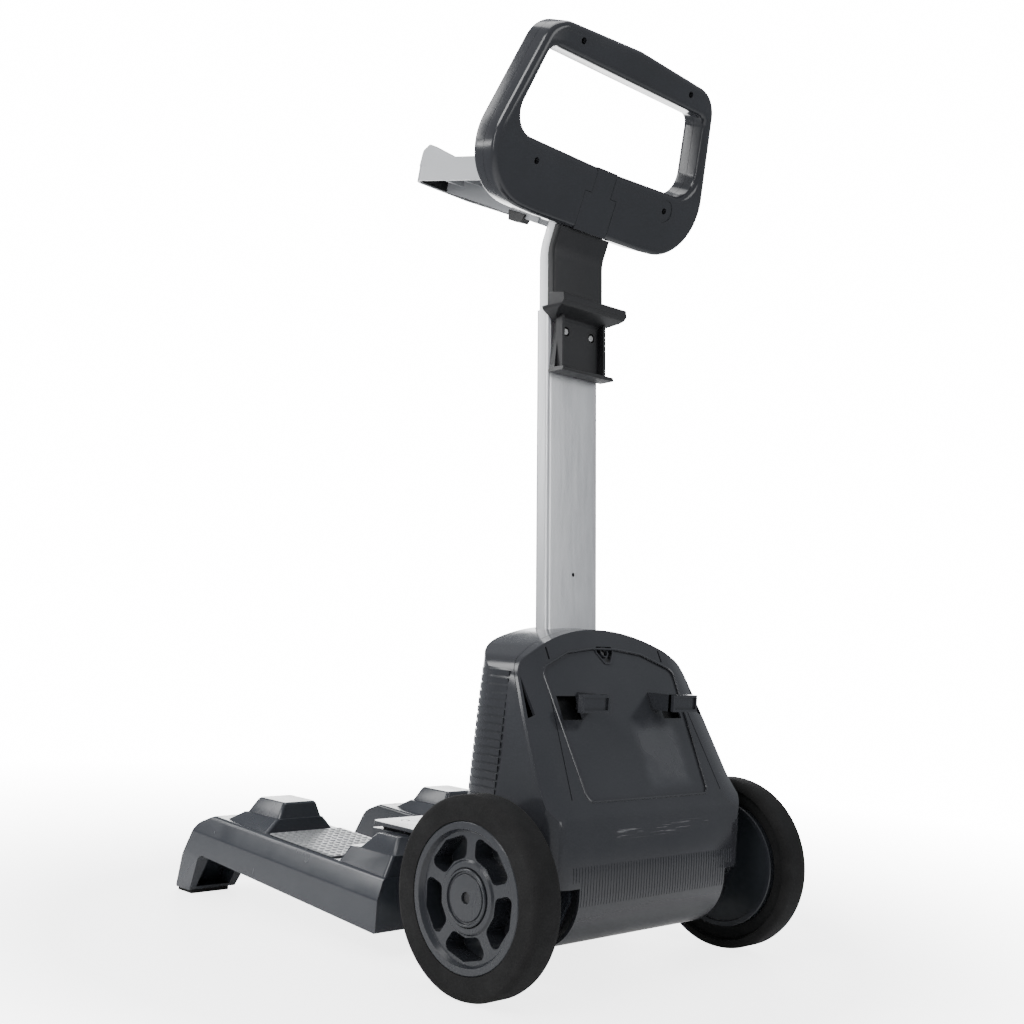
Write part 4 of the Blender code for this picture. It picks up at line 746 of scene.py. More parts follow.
# ---------------------------------------------------------------- chassis
chassis_outline = rounded([
    (CHASSIS_FRONT, 0.030, 0.006), (CHASSIS_FRONT, CHASSIS_TOP, 0.008),
    (CHASSIS_REAR - 0.012, CHASSIS_TOP, 0.010), (CHASSIS_REAR, 0.095, 0.012),
    (0.030, 0.058, 0.012), (-0.030, 0.045, 0.012), (-0.120, 0.030, 0.0)], 4)
chassis = plate("chassis", [chassis_outline], -CHASSIS_HALF, CHASSIS_HALF)
place(chassis, SATIN, datum, rotation=FACING_X)
chassis_hollow = helper(plate("chassis_hollow", [rounded([
    (CHASSIS_FRONT + CHASSIS_WALL, 0.010, 0.0),
    (CHASSIS_FRONT + CHASSIS_WALL, CHASSIS_TOP - CHASSIS_WALL, 0.004),
    (CHASSIS_REAR - 0.018, CHASSIS_TOP - CHASSIS_WALL, 0.006),
    (CHASSIS_REAR - CHASSIS_WALL, 0.093, 0.008), (0.026, 0.010, 0.0)], 3)],
    CHASSIS_WALL - CHASSIS_HALF, CHASSIS_HALF - CHASSIS_WALL), rotation=FACING_X)
cut(chassis, chassis_hollow)
for side, sign in SIDES:
    outer = sign * CHASSIS_HALF
    inner = sign * (CHASSIS_HALF - CHASSIS_WALL)
    boss = drill("axle_boss_" + side, 0.015, inner - sign * 0.012, inner + sign * 0.001, "X",
                 (0.0, WHEEL_R), 24)
    join(chassis, boss)
    hole = drill("bush_hole_" + side, BUSH_R, inner - sign * 0.02, outer + sign * 0.01, "X",
                 (0.0, WHEEL_R), 24)
    cut(chassis, hole)


# ---------------------------------------------------------------- lower housing
def cover_face_y(z):
    """Outer face of the sloped panel."""
    return COVER_LOW_Y - math.tan(COVER_SLOPE) * (z - COVER_LOW_Z)


def cover_half(z):
    """Half width of the housing at its rear edge."""
    share = max(0.0, (z - 0.108) / (0.330 - 0.108))
    return COVER_LOW_HALF + (COVER_TOP_HALF - COVER_LOW_HALF) * share ** 1.35


def arch_outline(inset, bottom):
    """Outline of the housing seen from behind, an arch on flared sides."""
    radius = ARCH_RADIUS - inset
    centre_z = ARCH_TOP - ARCH_RADIUS
    levels = [0.125, 0.170, 0.215, 0.260]
    side = [(cover_half(0.108) - inset, bottom, 0.0)]
    side += [(cover_half(z) - inset, z, 0.0) for z in levels]
    corner_x = cover_half(0.318) - inset
    corner_z = centre_z + math.sqrt(radius ** 2 - corner_x ** 2)
    top = []
    reach = math.asin((corner_x - SHOULDER_R * 1.05) / radius)
    for k in range(8 * FINE + 1):
        angle = reach * (1 - k / (4 * FINE))
        top.append((radius * math.sin(angle), centre_z + radius * math.cos(angle), 0.0))
    right = side + [(corner_x, corner_z, SHOULDER_R - inset)]
    left = [(-x, z, r) for x, z, r in reversed(right)]
    return rounded(right + top + left, 4)


def cover_profile(inset):
    """Rear face from the top down to the rolled-under bottom, as (y, z) points."""
    top = (cover_face_y(COVER_HEAD), COVER_HEAD, COVER_SLOPE)
    fold = (cover_face_y(CREASE_Z + CREASE_BLEND), CREASE_Z + CREASE_BLEND, COVER_SLOPE)
    barrel = Vector((BARREL_Y + BARREL_R, WHEEL_R + 0.020))
    knee = Vector((cover_face_y(CREASE_Z), CREASE_Z))
    lean = math.atan2(barrel.x - knee.x, knee.y - barrel.y)
    low = knee.lerp(barrel, CREASE_BLEND / (knee.y - barrel.y))
    middle = (knee.x - CREASE_BLEND * 0.06, CREASE_Z, (COVER_SLOPE + lean) / 2)
    points = []
    for y, z, tilt in (top, fold, middle, (low.x, low.y, lean)):
        points.append((y - math.cos(tilt) * inset, z - math.sin(tilt) * inset))
    points.append((barrel.x - inset, barrel.y))
    for k in range(10 * FINE + 1):
        angle = math.radians(-9.5 * k / FINE)
        points.append((BARREL_Y + (BARREL_R - inset) * math.cos(angle),
                       WHEEL_R + (BARREL_R - inset) * math.sin(angle)))
    return points


def strip_start(z):
    """Where the flat panel ends and its side strip starts to fall back."""
    share = (z - STRIP_LOW_Z) / (STRIP_TOP_Z - STRIP_LOW_Z)
    return STRIP_LOW_X + (STRIP_TOP_X - STRIP_LOW_X) * share


def strip_wedge(name, sign, inset):
    """What is taken off outside a side strip, or off the inside by the wall's thickness."""
    rings = []
    for z in [STRIP_LOW_Z + 0.0045 * k for k in range(13)] + [0.260, 0.310, COVER_HEAD]:
        rise = min(1.0, (z - STRIP_LOW_Z) / 0.054)
        fall = rise * rise * (3 - 2 * rise)
        start = strip_start(z)
        width = cover_half(min(z, 0.330)) - start
        low_y = cover_face_y(CREASE_Z)
        lean = (BARREL_Y + BARREL_R - low_y) * (CREASE_Z - z) / (CREASE_Z - WHEEL_R - 0.020)
        face = cover_face_y(z) if z > CREASE_Z else low_y + lean
        face -= inset / math.cos(COVER_SLOPE)
        ring = []
        for k in range(5 * FINE + 1):
            share = k / (4 * FINE)
            ring.append((sign * (start + width * share), face - STRIP_FALL * fall * share ** 1.7, z))
        far = sign * (start + width * 1.25)
        ring += [(far, face + 0.05, z), (sign * start, face + 0.05, z)]
        rings.append(ring)
    return helper(loft(name, rings))


def seam_line(shift):
    """Where the rear cover meets the front housing, from the bottom up."""
    return [(0.014 + shift, 0.085), (0.018 + shift, 0.150),
            (cover_face_y(0.205) - SEAM + shift, 0.205),
            (cover_face_y(COVER_HEAD) - SEAM + shift, COVER_HEAD)]


def plan_limit(inset):
    """Rounded rear corners of the lower part, seen from above."""
    half = COVER_LOW_HALF + 0.0015 - inset
    back = BARREL_Y + BARREL_R + 0.001 - inset
    corner = 0.040 - inset
    return rounded([(half, -0.25, 0.0), (half, back, corner), (-half, back, corner),
                    (-half, -0.25, 0.0)], 6)


rear_cover = plate("rear_cover", [cover_profile(0.0) + seam_line(0.0)], -0.18, 0.18)
place(rear_cover, COVER, datum, rotation=FACING_X)
notched = arch_outline(0.0, 0.104)
low_right, low_left = notched[0], notched[-1]
notched = notched + [(-BARREL_HALF, low_left[1]), (-BARREL_HALF, 0.0), (BARREL_HALF, 0.0),
                     (BARREL_HALF, low_right[1])]
trim(rear_cover,
     helper(plate("cover_outline", [notched], -0.15, 0.15), rotation=FACING_Y),
     helper(plate("cover_plan", [plan_limit(0.0)], 0.0, 0.4)))
inside = helper(plate("cover_inside", [cover_profile(SHELL_WALL) + [(-0.25, 0.03), (-0.25, COVER_HEAD)]],
                      -0.18, 0.18), rotation=FACING_X)
trim(inside,
     helper(plate("inside_outline", [arch_outline(SHELL_WALL, -0.01)], -0.3, 0.3), rotation=FACING_Y),
     helper(plate("inside_plan", [plan_limit(SHELL_WALL)], -0.05, 0.4)))
for side, sign in SIDES:
    cut(inside, strip_wedge("inside_strip_" + side, sign, SHELL_WALL))
    cut(rear_cover, strip_wedge("cover_strip_" + side, sign, 0.0))
cut(rear_cover, inside)

PANEL_TURN = (math.pi / 2 + COVER_SLOPE, 0.0, 0.0)
panel = empty("panel_plane", (0.0, COVER_LOW_Y, COVER_LOW_Z), PANEL_TURN, datum)


def up_panel(z):
    """Distance along the sloped panel from its reference line to a height."""
    return (z - COVER_LOW_Z) / math.cos(COVER_SLOPE)


# Local Z of the panel plane points into the housing.
recess_top = [(0.107, up_panel(0.309), 0.012), (0.060, up_panel(0.3255), 0.0),
              (0.020, up_panel(0.3300), 0.0), (-0.020, up_panel(0.3300), 0.0),
              (-0.060, up_panel(0.3255), 0.0), (-0.107, up_panel(0.309), 0.012)]
recess_outline = rounded([(-0.0975, 0.0, 0.010), (0.0975, 0.0, 0.010)] + recess_top, 4)
cut(rear_cover, helper(plate("panel_recess", [recess_outline], -0.01, 0.0016), panel))
for side, sign in SIDES:
    slit = box("cover_slit_" + side, (sign * 0.0917 - 0.0012, up_panel(0.318), -0.01),
               (sign * 0.0917 + 0.0012, up_panel(0.330), 0.01))
    vent = [(sign * (cover_half(z) - inward), up_panel(z), 0.0)
            for z, inward in ((0.304, VENT_RIM), (0.2637, VENT_RIM), (0.266, VENT_RIM + 0.0085))]
    cut(rear_cover, helper(slit, panel),
        helper(plate("side_vent_" + side, [rounded(vent)], -0.01, 0.014), panel))

# Cable hooks: a stem at the inner end and an arm that points outward.
hook_low = HOOK_TOP - HOOK_HEIGHT
for side, sign in SIDES:
    inner, tip = sign * HOOK_INNER, sign * HOOK_TIP
    stem_end = sign * (HOOK_INNER + 0.011)
    arm = box("hook_arm_" + side, (min(inner, tip), HOOK_REACH - 0.007, hook_low),
              (max(inner, tip), HOOK_REACH, HOOK_TOP))
    stem = box("hook_stem_" + side, (min(inner, stem_end), -0.012, hook_low),
               (max(inner, stem_end), HOOK_REACH - 0.0035, HOOK_TOP))
    hole_in, hole_out = sign * (HOOK_INNER + 0.014), sign * (HOOK_TIP + 0.003)
    hole = box("hook_hole_" + side, (min(hole_in, hole_out), -0.05, hook_low - 0.009),
               (max(hole_in, hole_out), 0.045, HOOK_TOP - 0.004))
    cut(rear_cover, helper(hole))
    join(rear_cover, helper(stem), helper(arm))

    face = box("hook_face_" + side, (min(sign * (HOOK_INNER + 0.003), sign * (HOOK_TIP - 0.0022)),
                                     HOOK_REACH - 0.0022, hook_low + 0.0028),
               (max(sign * (HOOK_INNER + 0.003), sign * (HOOK_TIP - 0.0022)), HOOK_REACH + 0.01,
                HOOK_TOP - 0.0028))
    cut(rear_cover, helper(face))
    # The thin groove along the edge of the flat panel.
    line = [(sign * (strip_start(z) + off), up_panel(z), 0.0)
            for z, off in ((0.302, -0.0006), (0.302, 0.0006), (0.186, 0.0006), (0.186, -0.0006))]
    cut(rear_cover, helper(plate("edge_groove_" + side, [rounded(line)], -0.01, 0.0009), panel))

# Screw pocket at the top of the panel.
POCKET_Z = 0.3275
POCKET_DEPTH = 0.011
pocket_v = up_panel(POCKET_Z)
join(rear_cover,
     drill("pocket_wall", 0.0100, 0.0005, POCKET_DEPTH, "Z", (0.0, pocket_v), 20, panel))
mouth = rounded([(-0.0135, pocket_v + 0.0055, 0.002), (0.0135, pocket_v + 0.0055, 0.002),
                 (0.0125, pocket_v - 0.001, 0.003), (0.0040, pocket_v - 0.0125, 0.003),
                 (-0.0040, pocket_v - 0.0125, 0.003), (-0.0125, pocket_v - 0.001, 0.003)], 2)
join(rear_cover, helper(plate("mouth_wall", [mouth], 0.0005, 0.0075, offset=0.0018), panel))
cut(rear_cover, helper(plate("mouth", [mouth], -0.01, 0.0055), panel))
join(rear_cover, drill("pocket_boss", 0.0062, 0.0010, POCKET_DEPTH, "Z", (0.0, pocket_v), 20, panel))
cut(rear_cover,
    drill("pocket_bore", 0.0048, -0.01, POCKET_DEPTH - 0.003, "Z", (0.0, pocket_v), 20, panel),
    drill("pocket_screw_hole", 0.0024, 0.0, 0.03, "Z", (0.0, pocket_v), 16, panel))
screw_piece("cover_top_screw", 0.0045, 0.0028, 0.0020, 0.018, STEEL, panel,
            (0.0, pocket_v, POCKET_DEPTH - 0.003 - GAP - 0.0028), (math.pi, 0, 0))


def housing_ring(z, inset):
    """Plan outline of the front housing at a height, rear edge wider than the front."""
    share = (z - 0.108) / (0.360 - 0.108)
    front = HOUSING_LOW_HALF + (HOUSING_TOP_HALF - HOUSING_LOW_HALF) * share
    rear = cover_half(min(z, 0.330))
    back_y = 0.060
    wide = rear + (rear - front) * 0.10
    ring = rounded([(wide - inset, back_y, 0.0), (front + 0.002 - inset, HOUSING_FRONT + inset,
                    HOUSING_CORNER - inset), (-front - 0.002 + inset, HOUSING_FRONT + inset,
                    HOUSING_CORNER - inset), (-wide + inset, back_y, 0.0)], 7)
    return [(x, y, z) for x, y in ring]


HOUSING_BASE = CHASSIS_TOP + GAP
levels = (HOUSING_BASE, 0.180, 0.260, 0.360)
front_housing = loft("front_housing", [housing_ring(z, 0.0) for z in levels])
place(front_housing, GLOSS, datum)
side_outline = seam_line(-SEAM_GAP) + [(-0.2, 0.36), (-0.2, 0.05)]
trim(front_housing,
     helper(plate("housing_side", [side_outline], -0.2, 0.2), rotation=FACING_X),
     helper(plate("housing_arch", [arch_outline(0.0, 0.05)], -0.15, 0.2), rotation=FACING_Y))
hollow = helper(loft("housing_hollow", [housing_ring(z, SHELL_WALL) for z in
                                        (0.05, 0.180, 0.260, 0.360)]))
trim(hollow, helper(plate("hollow_arch", [arch_outline(SHELL_WALL, 0.04)], -0.15, 0.2),
                    rotation=FACING_Y))
cut(front_housing, hollow)


def mast_ring(half, front, back, corner):
    """Rounded rectangle of the mast's cross section, in mast coordinates."""
    return rounded([(half, back, corner), (-half, back, corner), (-half, front, corner),
                    (half, front, corner)], 3)


tower = mast_ring(MAST_WIDTH / 2 + GAP, -MAST_DEPTH - GAP, GAP, MAST_CORNER)
cut(front_housing, helper(plate("mast_opening", [tower], 0.25, 0.40), mast_axis))

# ---------------------------------------------------------------- mast
mast_half = MAST_WIDTH / 2
mast_lower = plate("mast_lower_tube", [mast_ring(mast_half, -MAST_DEPTH, 0.0, MAST_CORNER)],
                   MAST_FOOT, MAST_TOP)
place(mast_lower, SILVER, mast_axis)
inner_ring = mast_ring(mast_half - TUBE_WALL, -MAST_DEPTH + TUBE_WALL, -TUBE_WALL,
                       MAST_CORNER - TUBE_WALL)
cut(mast_lower, helper(plate("mast_bore", [inner_ring], 0.0, 0.8), mast_axis))
pin_hole = rod("pin_hole", 0.0022, -0.01, 0.01, "Y", (0.0, 0.4095), 12)
cut(mast_lower, helper(pin_hole, mast_axis))

cut(chassis, helper(plate("chassis_mast_bore", [mast_ring(mast_half + GAP, -MAST_DEPTH - GAP, GAP,
                                                          MAST_CORNER)], 0.05, 0.3), mast_axis))
BOLT_R = 0.004
BOLT_Z = 0.155
cut(mast_lower, drill("mast_bolt_hole", BOLT_R + GAP, -0.2, 0.2, "X", (-MAST_DEPTH / 2, BOLT_Z), 16,
                      mast_axis))

# The upper tube leans with the mast, then bends back to the handle's plane.
UPPER_HALF = mast_half - TUBE_INSET
UPPER_DEPTH = MAST_DEPTH - 2 * TUBE_INSET
bend_angle = MAST_LEAN + HANDLE_TILT
trim_back = BEND_RADIUS * math.tan(bend_angle / 2)
BEND_STEPS = 6 * FINE


def neck_stations(start, end_v):
    """Back-face points and back normals along the neck: start on the mast, end on the handle."""
    stations = []
    begin = Vector(MAST_ROOT) + ALONG * start - BACKWARD * TUBE_INSET
    if start < BEND_AT - trim_back - 0.004:
        stations.append((begin, 0.0))
    centre = BEND_BACK - ALONG * trim_back + BACKWARD * BEND_RADIUS
    for k in range(BEND_STEPS + 1):
        turn = bend_angle * k / BEND_STEPS
        back = Matrix.Rotation(-turn, 3, "X") @ BACKWARD
        stations.append((centre - back * BEND_RADIUS, turn))
    stations.append((HANDLE_ROOT - OFF_HANDLE * NECK_INSET + UP_HANDLE * end_v, bend_angle))
    return stations


def neck_loft(name, section, start, end_v):
    """Sweep an (x, backward) section along the neck."""
    rings = []
    for spot, turn in neck_stations(start, end_v):
        back = Matrix.Rotation(-turn, 3, "X") @ BACKWARD
        rings.append([(x, spot.y + back.y * b, spot.z + back.z * b) for x, b in section])
    return loft(name, rings)


mast_upper = neck_loft("mast_upper_tube", mast_ring(UPPER_HALF, -UPPER_DEPTH, 0.0, 0.0035),
                       MAST_TOP - MAST_OVERLAP, NECK_TOP)
place(mast_upper, SILVER, datum)
bore = mast_ring(UPPER_HALF - TUBE_WALL, -UPPER_DEPTH + TUBE_WALL, -TUBE_WALL, 0.0018)
cut(mast_upper, helper(neck_loft("upper_bore", bore, MAST_TOP - MAST_OVERLAP - 0.01,
                                 NECK_TOP + 0.01)))

wall = 0.0025
cover_half_w = mast_half + 0.0007
cover_section = rounded([(cover_half_w, GAP, 0.0), (cover_half_w, COVER_PROUD, 0.0035),
                         (-cover_half_w, COVER_PROUD, 0.0035), (-cover_half_w, GAP, 0.0)], 3)
cover_section += rounded([(-cover_half_w + wall, GAP, 0.0),
                          (-cover_half_w + wall, COVER_PROUD - wall, 0.001),
                          (cover_half_w - wall, COVER_PROUD - wall, 0.001),
                          (cover_half_w - wall, GAP, 0.0)], 2)
NECK_COVER_TOP = HANDLE_BOTTOM - 2 * GAP
neck_cover = neck_loft("neck_cover", cover_section, MAST_TOP + 0.001, NECK_COVER_TOP)
place(neck_cover, MATTE, datum)

# ---------------------------------------------------------------- bracket on the mast
BRACKET_LOW = 0.630
BRACKET_TOP = 0.7165
SHELF_REACH = 0.033
LEDGE_REACH = 0.022
PLATE_T = 0.0075
MAST_FACE = GAP
# The part above the lower tube's end stays clear of the neck cover.
bracket_side = [(MAST_FACE, BRACKET_LOW, 0.002), (LEDGE_REACH, BRACKET_LOW, 0.0015),
                (LEDGE_REACH, BRACKET_LOW + 0.0045, 0.0015), (PLATE_T, BRACKET_LOW + 0.0055, 0.001),
                (PLATE_T, MAST_TOP - 0.011, 0.006), (SHELF_REACH - 0.004, MAST_TOP - 0.003, 0.004),
                (SHELF_REACH, MAST_TOP + 0.0015, 0.002), (SHELF_REACH - 0.001, BRACKET_TOP - 0.004, 0.002),
                (COVER_PROUD + 0.002, BRACKET_TOP, 0.001), (COVER_PROUD, MAST_TOP - 0.0005, 0.0),
                (MAST_FACE, MAST_TOP - 0.0005, 0.0)]
bracket = plate("mast_bracket", [rounded(bracket_side, 3)], -0.053, 0.053)
place(bracket, MATTE, mast_axis, rotation=FACING_X)
bracket_front = rounded([(0.044, BRACKET_LOW - 0.002, 0.002), (0.040, BRACKET_LOW + 0.008, 0.004),
                         (0.0335, MAST_TOP - 0.014, 0.004), (0.053, MAST_TOP - 0.004, 0.006),
                         (0.053, BRACKET_TOP + 0.001, 0.003), (-0.053, BRACKET_TOP + 0.001, 0.003),
                         (-0.053, MAST_TOP - 0.004, 0.006), (-0.0335, MAST_TOP - 0.014, 0.004),
                         (-0.040, BRACKET_LOW + 0.008, 0.004), (-0.044, BRACKET_LOW - 0.002, 0.002)], 3)
trim(bracket, helper(plate("bracket_outline", [bracket_front], -0.05, 0.01), mast_axis,
                     rotation=FACING_Y))
for side, sign in SIDES:
    low_x, high_x = sorted((sign * 0.0325, sign * 0.0365))
    gusset = box("bracket_gusset_" + side, (low_x, PLATE_T - 0.001, BRACKET_LOW + 0.003),
                 (high_x, PLATE_T + 0.008, MAST_TOP - 0.009))
    join(bracket, helper(gusset, mast_axis))
    spot = (sign * 0.021, PLATE_T, 0.6785)
    cut(bracket,
        drill("bracket_bore_" + side, 0.0052, PLATE_T - 0.003, PLATE_T + 0.01, "Y", (spot[0], spot[2]),
              16, mast_axis),
        drill("bracket_hole_" + side, 0.0022, -0.02, PLATE_T, "Y", (spot[0], spot[2]), 12, mast_axis))
    cut(mast_lower, drill("mast_screw_hole_" + side, 0.0022, -0.01, 0.01, "Y", (spot[0], spot[2]), 12,
                          mast_axis))
    cut(mast_upper, drill("upper_screw_hole_" + side, 0.0022, -0.01, 0.01, "Y", (spot[0], spot[2]), 12,
                          mast_axis))
    screw_piece("bracket_screw_" + side, 0.0042, 0.0025, 0.0018, 0.014, STEEL, mast_axis,
                (spot[0], PLATE_T - 0.003 + GAP + 0.0025, spot[2]), (-math.pi / 2, 0, 0))


# ---------------------------------------------------------------- handle
handle_outer = rounded([
    (HANDLE_TOP_HALF, HANDLE_TOP - 0.004, 0.036), (0.0, HANDLE_TOP + 0.003, 0.0),
    (-HANDLE_TOP_HALF, HANDLE_TOP - 0.004, 0.036),
    (-HANDLE_BOTTOM_HALF, HANDLE_BOTTOM + 0.006, 0.064), (-0.090, HANDLE_BOTTOM, 0.0),
    (0.090, HANDLE_BOTTOM, 0.0), (HANDLE_BOTTOM_HALF, HANDLE_BOTTOM + 0.006, 0.064)], 6)
grip_opening = rounded([
    (GRIP_TOP_HALF, GRIP_TOP, 0.014), (-GRIP_TOP_HALF, GRIP_TOP, 0.014),
    (-GRIP_BOTTOM_HALF, GRIP_BOTTOM + 0.002, 0.026), (0.0, GRIP_BOTTOM - 0.002, 0.0),
    (GRIP_BOTTOM_HALF, GRIP_BOTTOM + 0.002, 0.026)], 4)
PARTING = HANDLE_DEPTH / 2
HANDLE_SCREWS = {"upper_left": (0.0928, 0.1330), "upper_right": (-0.0928, 0.1330),
                 "lower_left": (0.1091, 0.0), "lower_right": (-0.1091, 0.0)}

neck_pocket = [(UPPER_HALF + GAP, -0.10), (UPPER_HALF + GAP, NECK_TOP + GAP),
               (-UPPER_HALF - GAP, NECK_TOP + GAP), (-UPPER_HALF - GAP, -0.10)]
insert_outline = [(INSERT_HALF, HANDLE_BOTTOM - 0.01), (INSERT_HALF, INSERT_STEP),
                  (INSERT_STEP_HALF, INSERT_STEP), (INSERT_STEP_HALF, 0.05),
                  (-INSERT_STEP_HALF, 0.05), (-INSERT_STEP_HALF, INSERT_STEP),
                  (-INSERT_HALF, INSERT_STEP), (-INSERT_HALF, HANDLE_BOTTOM - 0.01)]


def grown(outline, amount):
    """The insert's outline, wider by a clearance on both sides."""
    return [(x + math.copysign(amount, x), y + (amount if y == INSERT_STEP else 0.0))
            for x, y in outline]


def handle_half(name, low, high, channel_low, channel_high):
    """One half of the ring, hollow towards the parting plane, with its four screw bosses."""
    half = plate(name, [handle_outer, grip_opening], 0.0, HANDLE_DEPTH, bevel=HANDLE_EDGE, bevel_steps=2)
    place(half, GLOSS, handle_plane)
    trim(half, helper(box(name + "_limit", (-0.3, -0.2, low), (0.3, 0.3, high)), handle_plane))
    channel = plate(name + "_channel", [handle_outer, grip_opening], channel_low, channel_high,
                    offset=-HANDLE_WALL - 0.001)
    cut(half, helper(channel, handle_plane))
    for spot, (x, v) in HANDLE_SCREWS.items():
        boss = rod(name + "_boss_" + spot, 0.0062, max(low, 0.001) + 0.001,
                   min(high, HANDLE_DEPTH - 0.001) - 0.001, "Z", (x, v), 16)
        join(half, helper(boss, handle_plane))
    wall_low, wall_high = max(low, 0.001), min(high, HANDLE_DEPTH - 0.001)
    block = box(name + "_block", (-UPPER_HALF - 0.006, HANDLE_BOTTOM + 0.004, wall_low),
                (UPPER_HALF + 0.006, GRIP_BOTTOM - 0.004, wall_high))
    join(half, helper(block, handle_plane))
    return half


rear_half = handle_half("handle_rear_shell", -0.01, PARTING - GAP / 2, HANDLE_WALL, PARTING + 0.01)
front_half = handle_half("handle_front_shell", PARTING + GAP / 2, HANDLE_DEPTH + 0.01,
                         PARTING - 0.01, HANDLE_DEPTH - HANDLE_WALL)
tube_low, tube_high = NECK_INSET - GAP, NECK_INSET + UPPER_DEPTH + GAP
pocket_cut = helper(plate("neck_pocket", [neck_pocket], tube_low, tube_high), handle_plane)
window = helper(plate("insert_window", [grown(insert_outline, GAP)], -0.02, PARTING + 0.001),
                handle_plane)
for half in (rear_half, front_half):
    cut(half, pocket_cut)
cut(rear_half, window)

insert = plate("handle_centre_insert", [insert_outline], 0.0, NECK_INSET - 2 * GAP)
place(insert, GLOSS, handle_plane)
bar_outline = [(0.06, HANDLE_BOTTOM), (0.06, GRIP_BOTTOM - 0.0015), (-0.06, GRIP_BOTTOM - 0.0015),
               (-0.06, HANDLE_BOTTOM)]
trim(insert, helper(plate("insert_limit", [bar_outline], -0.01, 0.03), handle_plane))

HEAD_SINK = 0.008
screw_spots = list(HANDLE_SCREWS.values())
heads = helper(rods("handle_screw_heads", 0.0036, -0.02, HEAD_SINK, "Z", screw_spots, 14), handle_plane)
cut(rear_half, drill("screw_dish", 0.0130, -0.01, 0.0008, "Z", HANDLE_SCREWS["lower_right"], 28,
                     handle_plane))
shanks = helper(rods("handle_screw_shanks", 0.0019, 0.001, PARTING + 0.013, "Z", screw_spots, 10),
                handle_plane)
cut(rear_half, heads, shanks)
cut(front_half, shanks)
for spot, (x, v) in HANDLE_SCREWS.items():
    screw_piece("handle_screw_" + spot, 0.0032, 0.0022, 0.0015, 0.026, STEEL, handle_plane,
                (x, v, HEAD_SINK - GAP - 0.0022), (math.pi, 0, 0))

# ---------------------------------------------------------------- control unit tray
# Tray frame: local X is the object's X, local -Y runs forward along the tray, local Z is its top.
tray_root = HANDLE_ROOT - OFF_HANDLE * HANDLE_DEPTH + UP_HANDLE * 0.004
tray_frame = empty("tray_frame", tray_root, (-TRAY_TILT, 0.0, 0.0), datum)
tray = plate("tray", [rounded([(TRAY_HALF, 0.02, 0.0), (-TRAY_HALF, 0.02, 0.0),
                               (-TRAY_HALF, -TRAY_LENGTH, 0.020), (0.0, -TRAY_LENGTH - 0.010, 0.0),
                               (TRAY_HALF, -TRAY_LENGTH, 0.020)], 5)], -TRAY_HEIGHT, 0.0)
place(tray, LIGHT, tray_frame)
inner_half = TRAY_HALF - TRAY_WALL
under = rounded([(inner_half, -0.022, 0.0), (-inner_half, -0.022, 0.0),
                 (-inner_half, TRAY_WALL - TRAY_LENGTH, 0.017), (0.0, TRAY_WALL - TRAY_LENGTH - 0.010, 0.0),
                 (inner_half, TRAY_WALL - TRAY_LENGTH, 0.017)], 4)
cut(tray, helper(plate("tray_hollow", [under], -0.1, -TRAY_WALL), tray_frame))
TRAY_RIB = 0.0025
for k in range(4):
    y = -0.052 - 0.032 * k
    rib = box("tray_rib_%d" % (k + 1), (-inner_half - 0.001, y, -TRAY_HEIGHT + 0.006),
              (inner_half + 0.001, y + TRAY_RIB, -TRAY_WALL + 0.001))
    join(tray, helper(rib, tray_frame))
GUSSET_IN = MAST_WIDTH / 2 + 0.0022
GUSSET_OUT = GUSSET_IN + 0.003
gusset_rear, gusset_front = (0.020, -0.0690), (-0.174, -0.0270)
gusset_side = [gusset_rear, (0.016, -0.050), (-0.010, -0.002), (-0.174, -0.002), gusset_front]
for side, sign in SIDES:
    low_x, high_x = sorted((sign * GUSSET_IN, sign * GUSSET_OUT))
    gusset = plate("tray_gusset_" + side, [gusset_side], low_x, high_x)
    join(tray, helper(gusset, tray_frame, rotation=FACING_X))
    low_x, high_x = sorted((sign * (TRAY_HALF - 0.010), sign * TRAY_HALF))
    horn_side = rounded([(-0.104, -0.002, 0.0), (-0.1555, TRAY_HORN, 0.004), (-0.166, 0.008, 0.006),
                         (-0.168, -0.010, 0.0), (-0.120, -0.010, 0.0)], 3)
    horn = plate("tray_horn_" + side, [horn_side], low_x, high_x)
    join(tray, helper(horn, tray_frame, rotation=FACING_X))
cut(tray, helper(box("tray_limit", (-0.3, -0.2, -0.05), (0.3, 0.3, HANDLE_DEPTH + GAP)), handle_plane))
for side, sign in SIDES:
    x, v = sign * 0.070, -0.010
    cut(front_half, drill("tray_screw_way_" + side, 0.0019, PARTING + 0.004, HANDLE_DEPTH + 0.002, "Z",
                          (x, v), 12, handle_plane))
    cut(tray, drill("tray_screw_hole_" + side, 0.0022, HANDLE_DEPTH - 0.001, HANDLE_DEPTH + 0.02, "Z",
                    (x, v), 12, handle_plane),
        drill("tray_screw_bore_" + side, 0.0050, HANDLE_DEPTH + 0.0033, HANDLE_DEPTH + 0.030, "Z",
              (x, v), 16, handle_plane))
    screw_piece("tray_screw_" + side, 0.0042, 0.0025, 0.0015, 0.017, STEEL, handle_plane,
                (x, v, HANDLE_DEPTH + 0.0033 + GAP + 0.0025), (0, 0, 0))
clip_outline = rounded([(-0.058, -0.0475, 0.0), (-0.056, -0.0595, 0.002), (-0.034, -0.0625, 0.002),
                        (-0.030, -0.0530, 0.0)], 3)
tray_clip = plate("tray_clip", [clip_outline], GUSSET_IN - 0.006, GUSSET_OUT + 0.003)
place(tray_clip, MATTE, tray_frame, rotation=FACING_X)
clip_groove = [(gusset_rear[0], gusset_rear[1] - 1.2 * GAP), (gusset_front[0], gusset_front[1] - 1.2 * GAP),
               (gusset_front[0], 0.01), (gusset_rear[0], 0.01)]
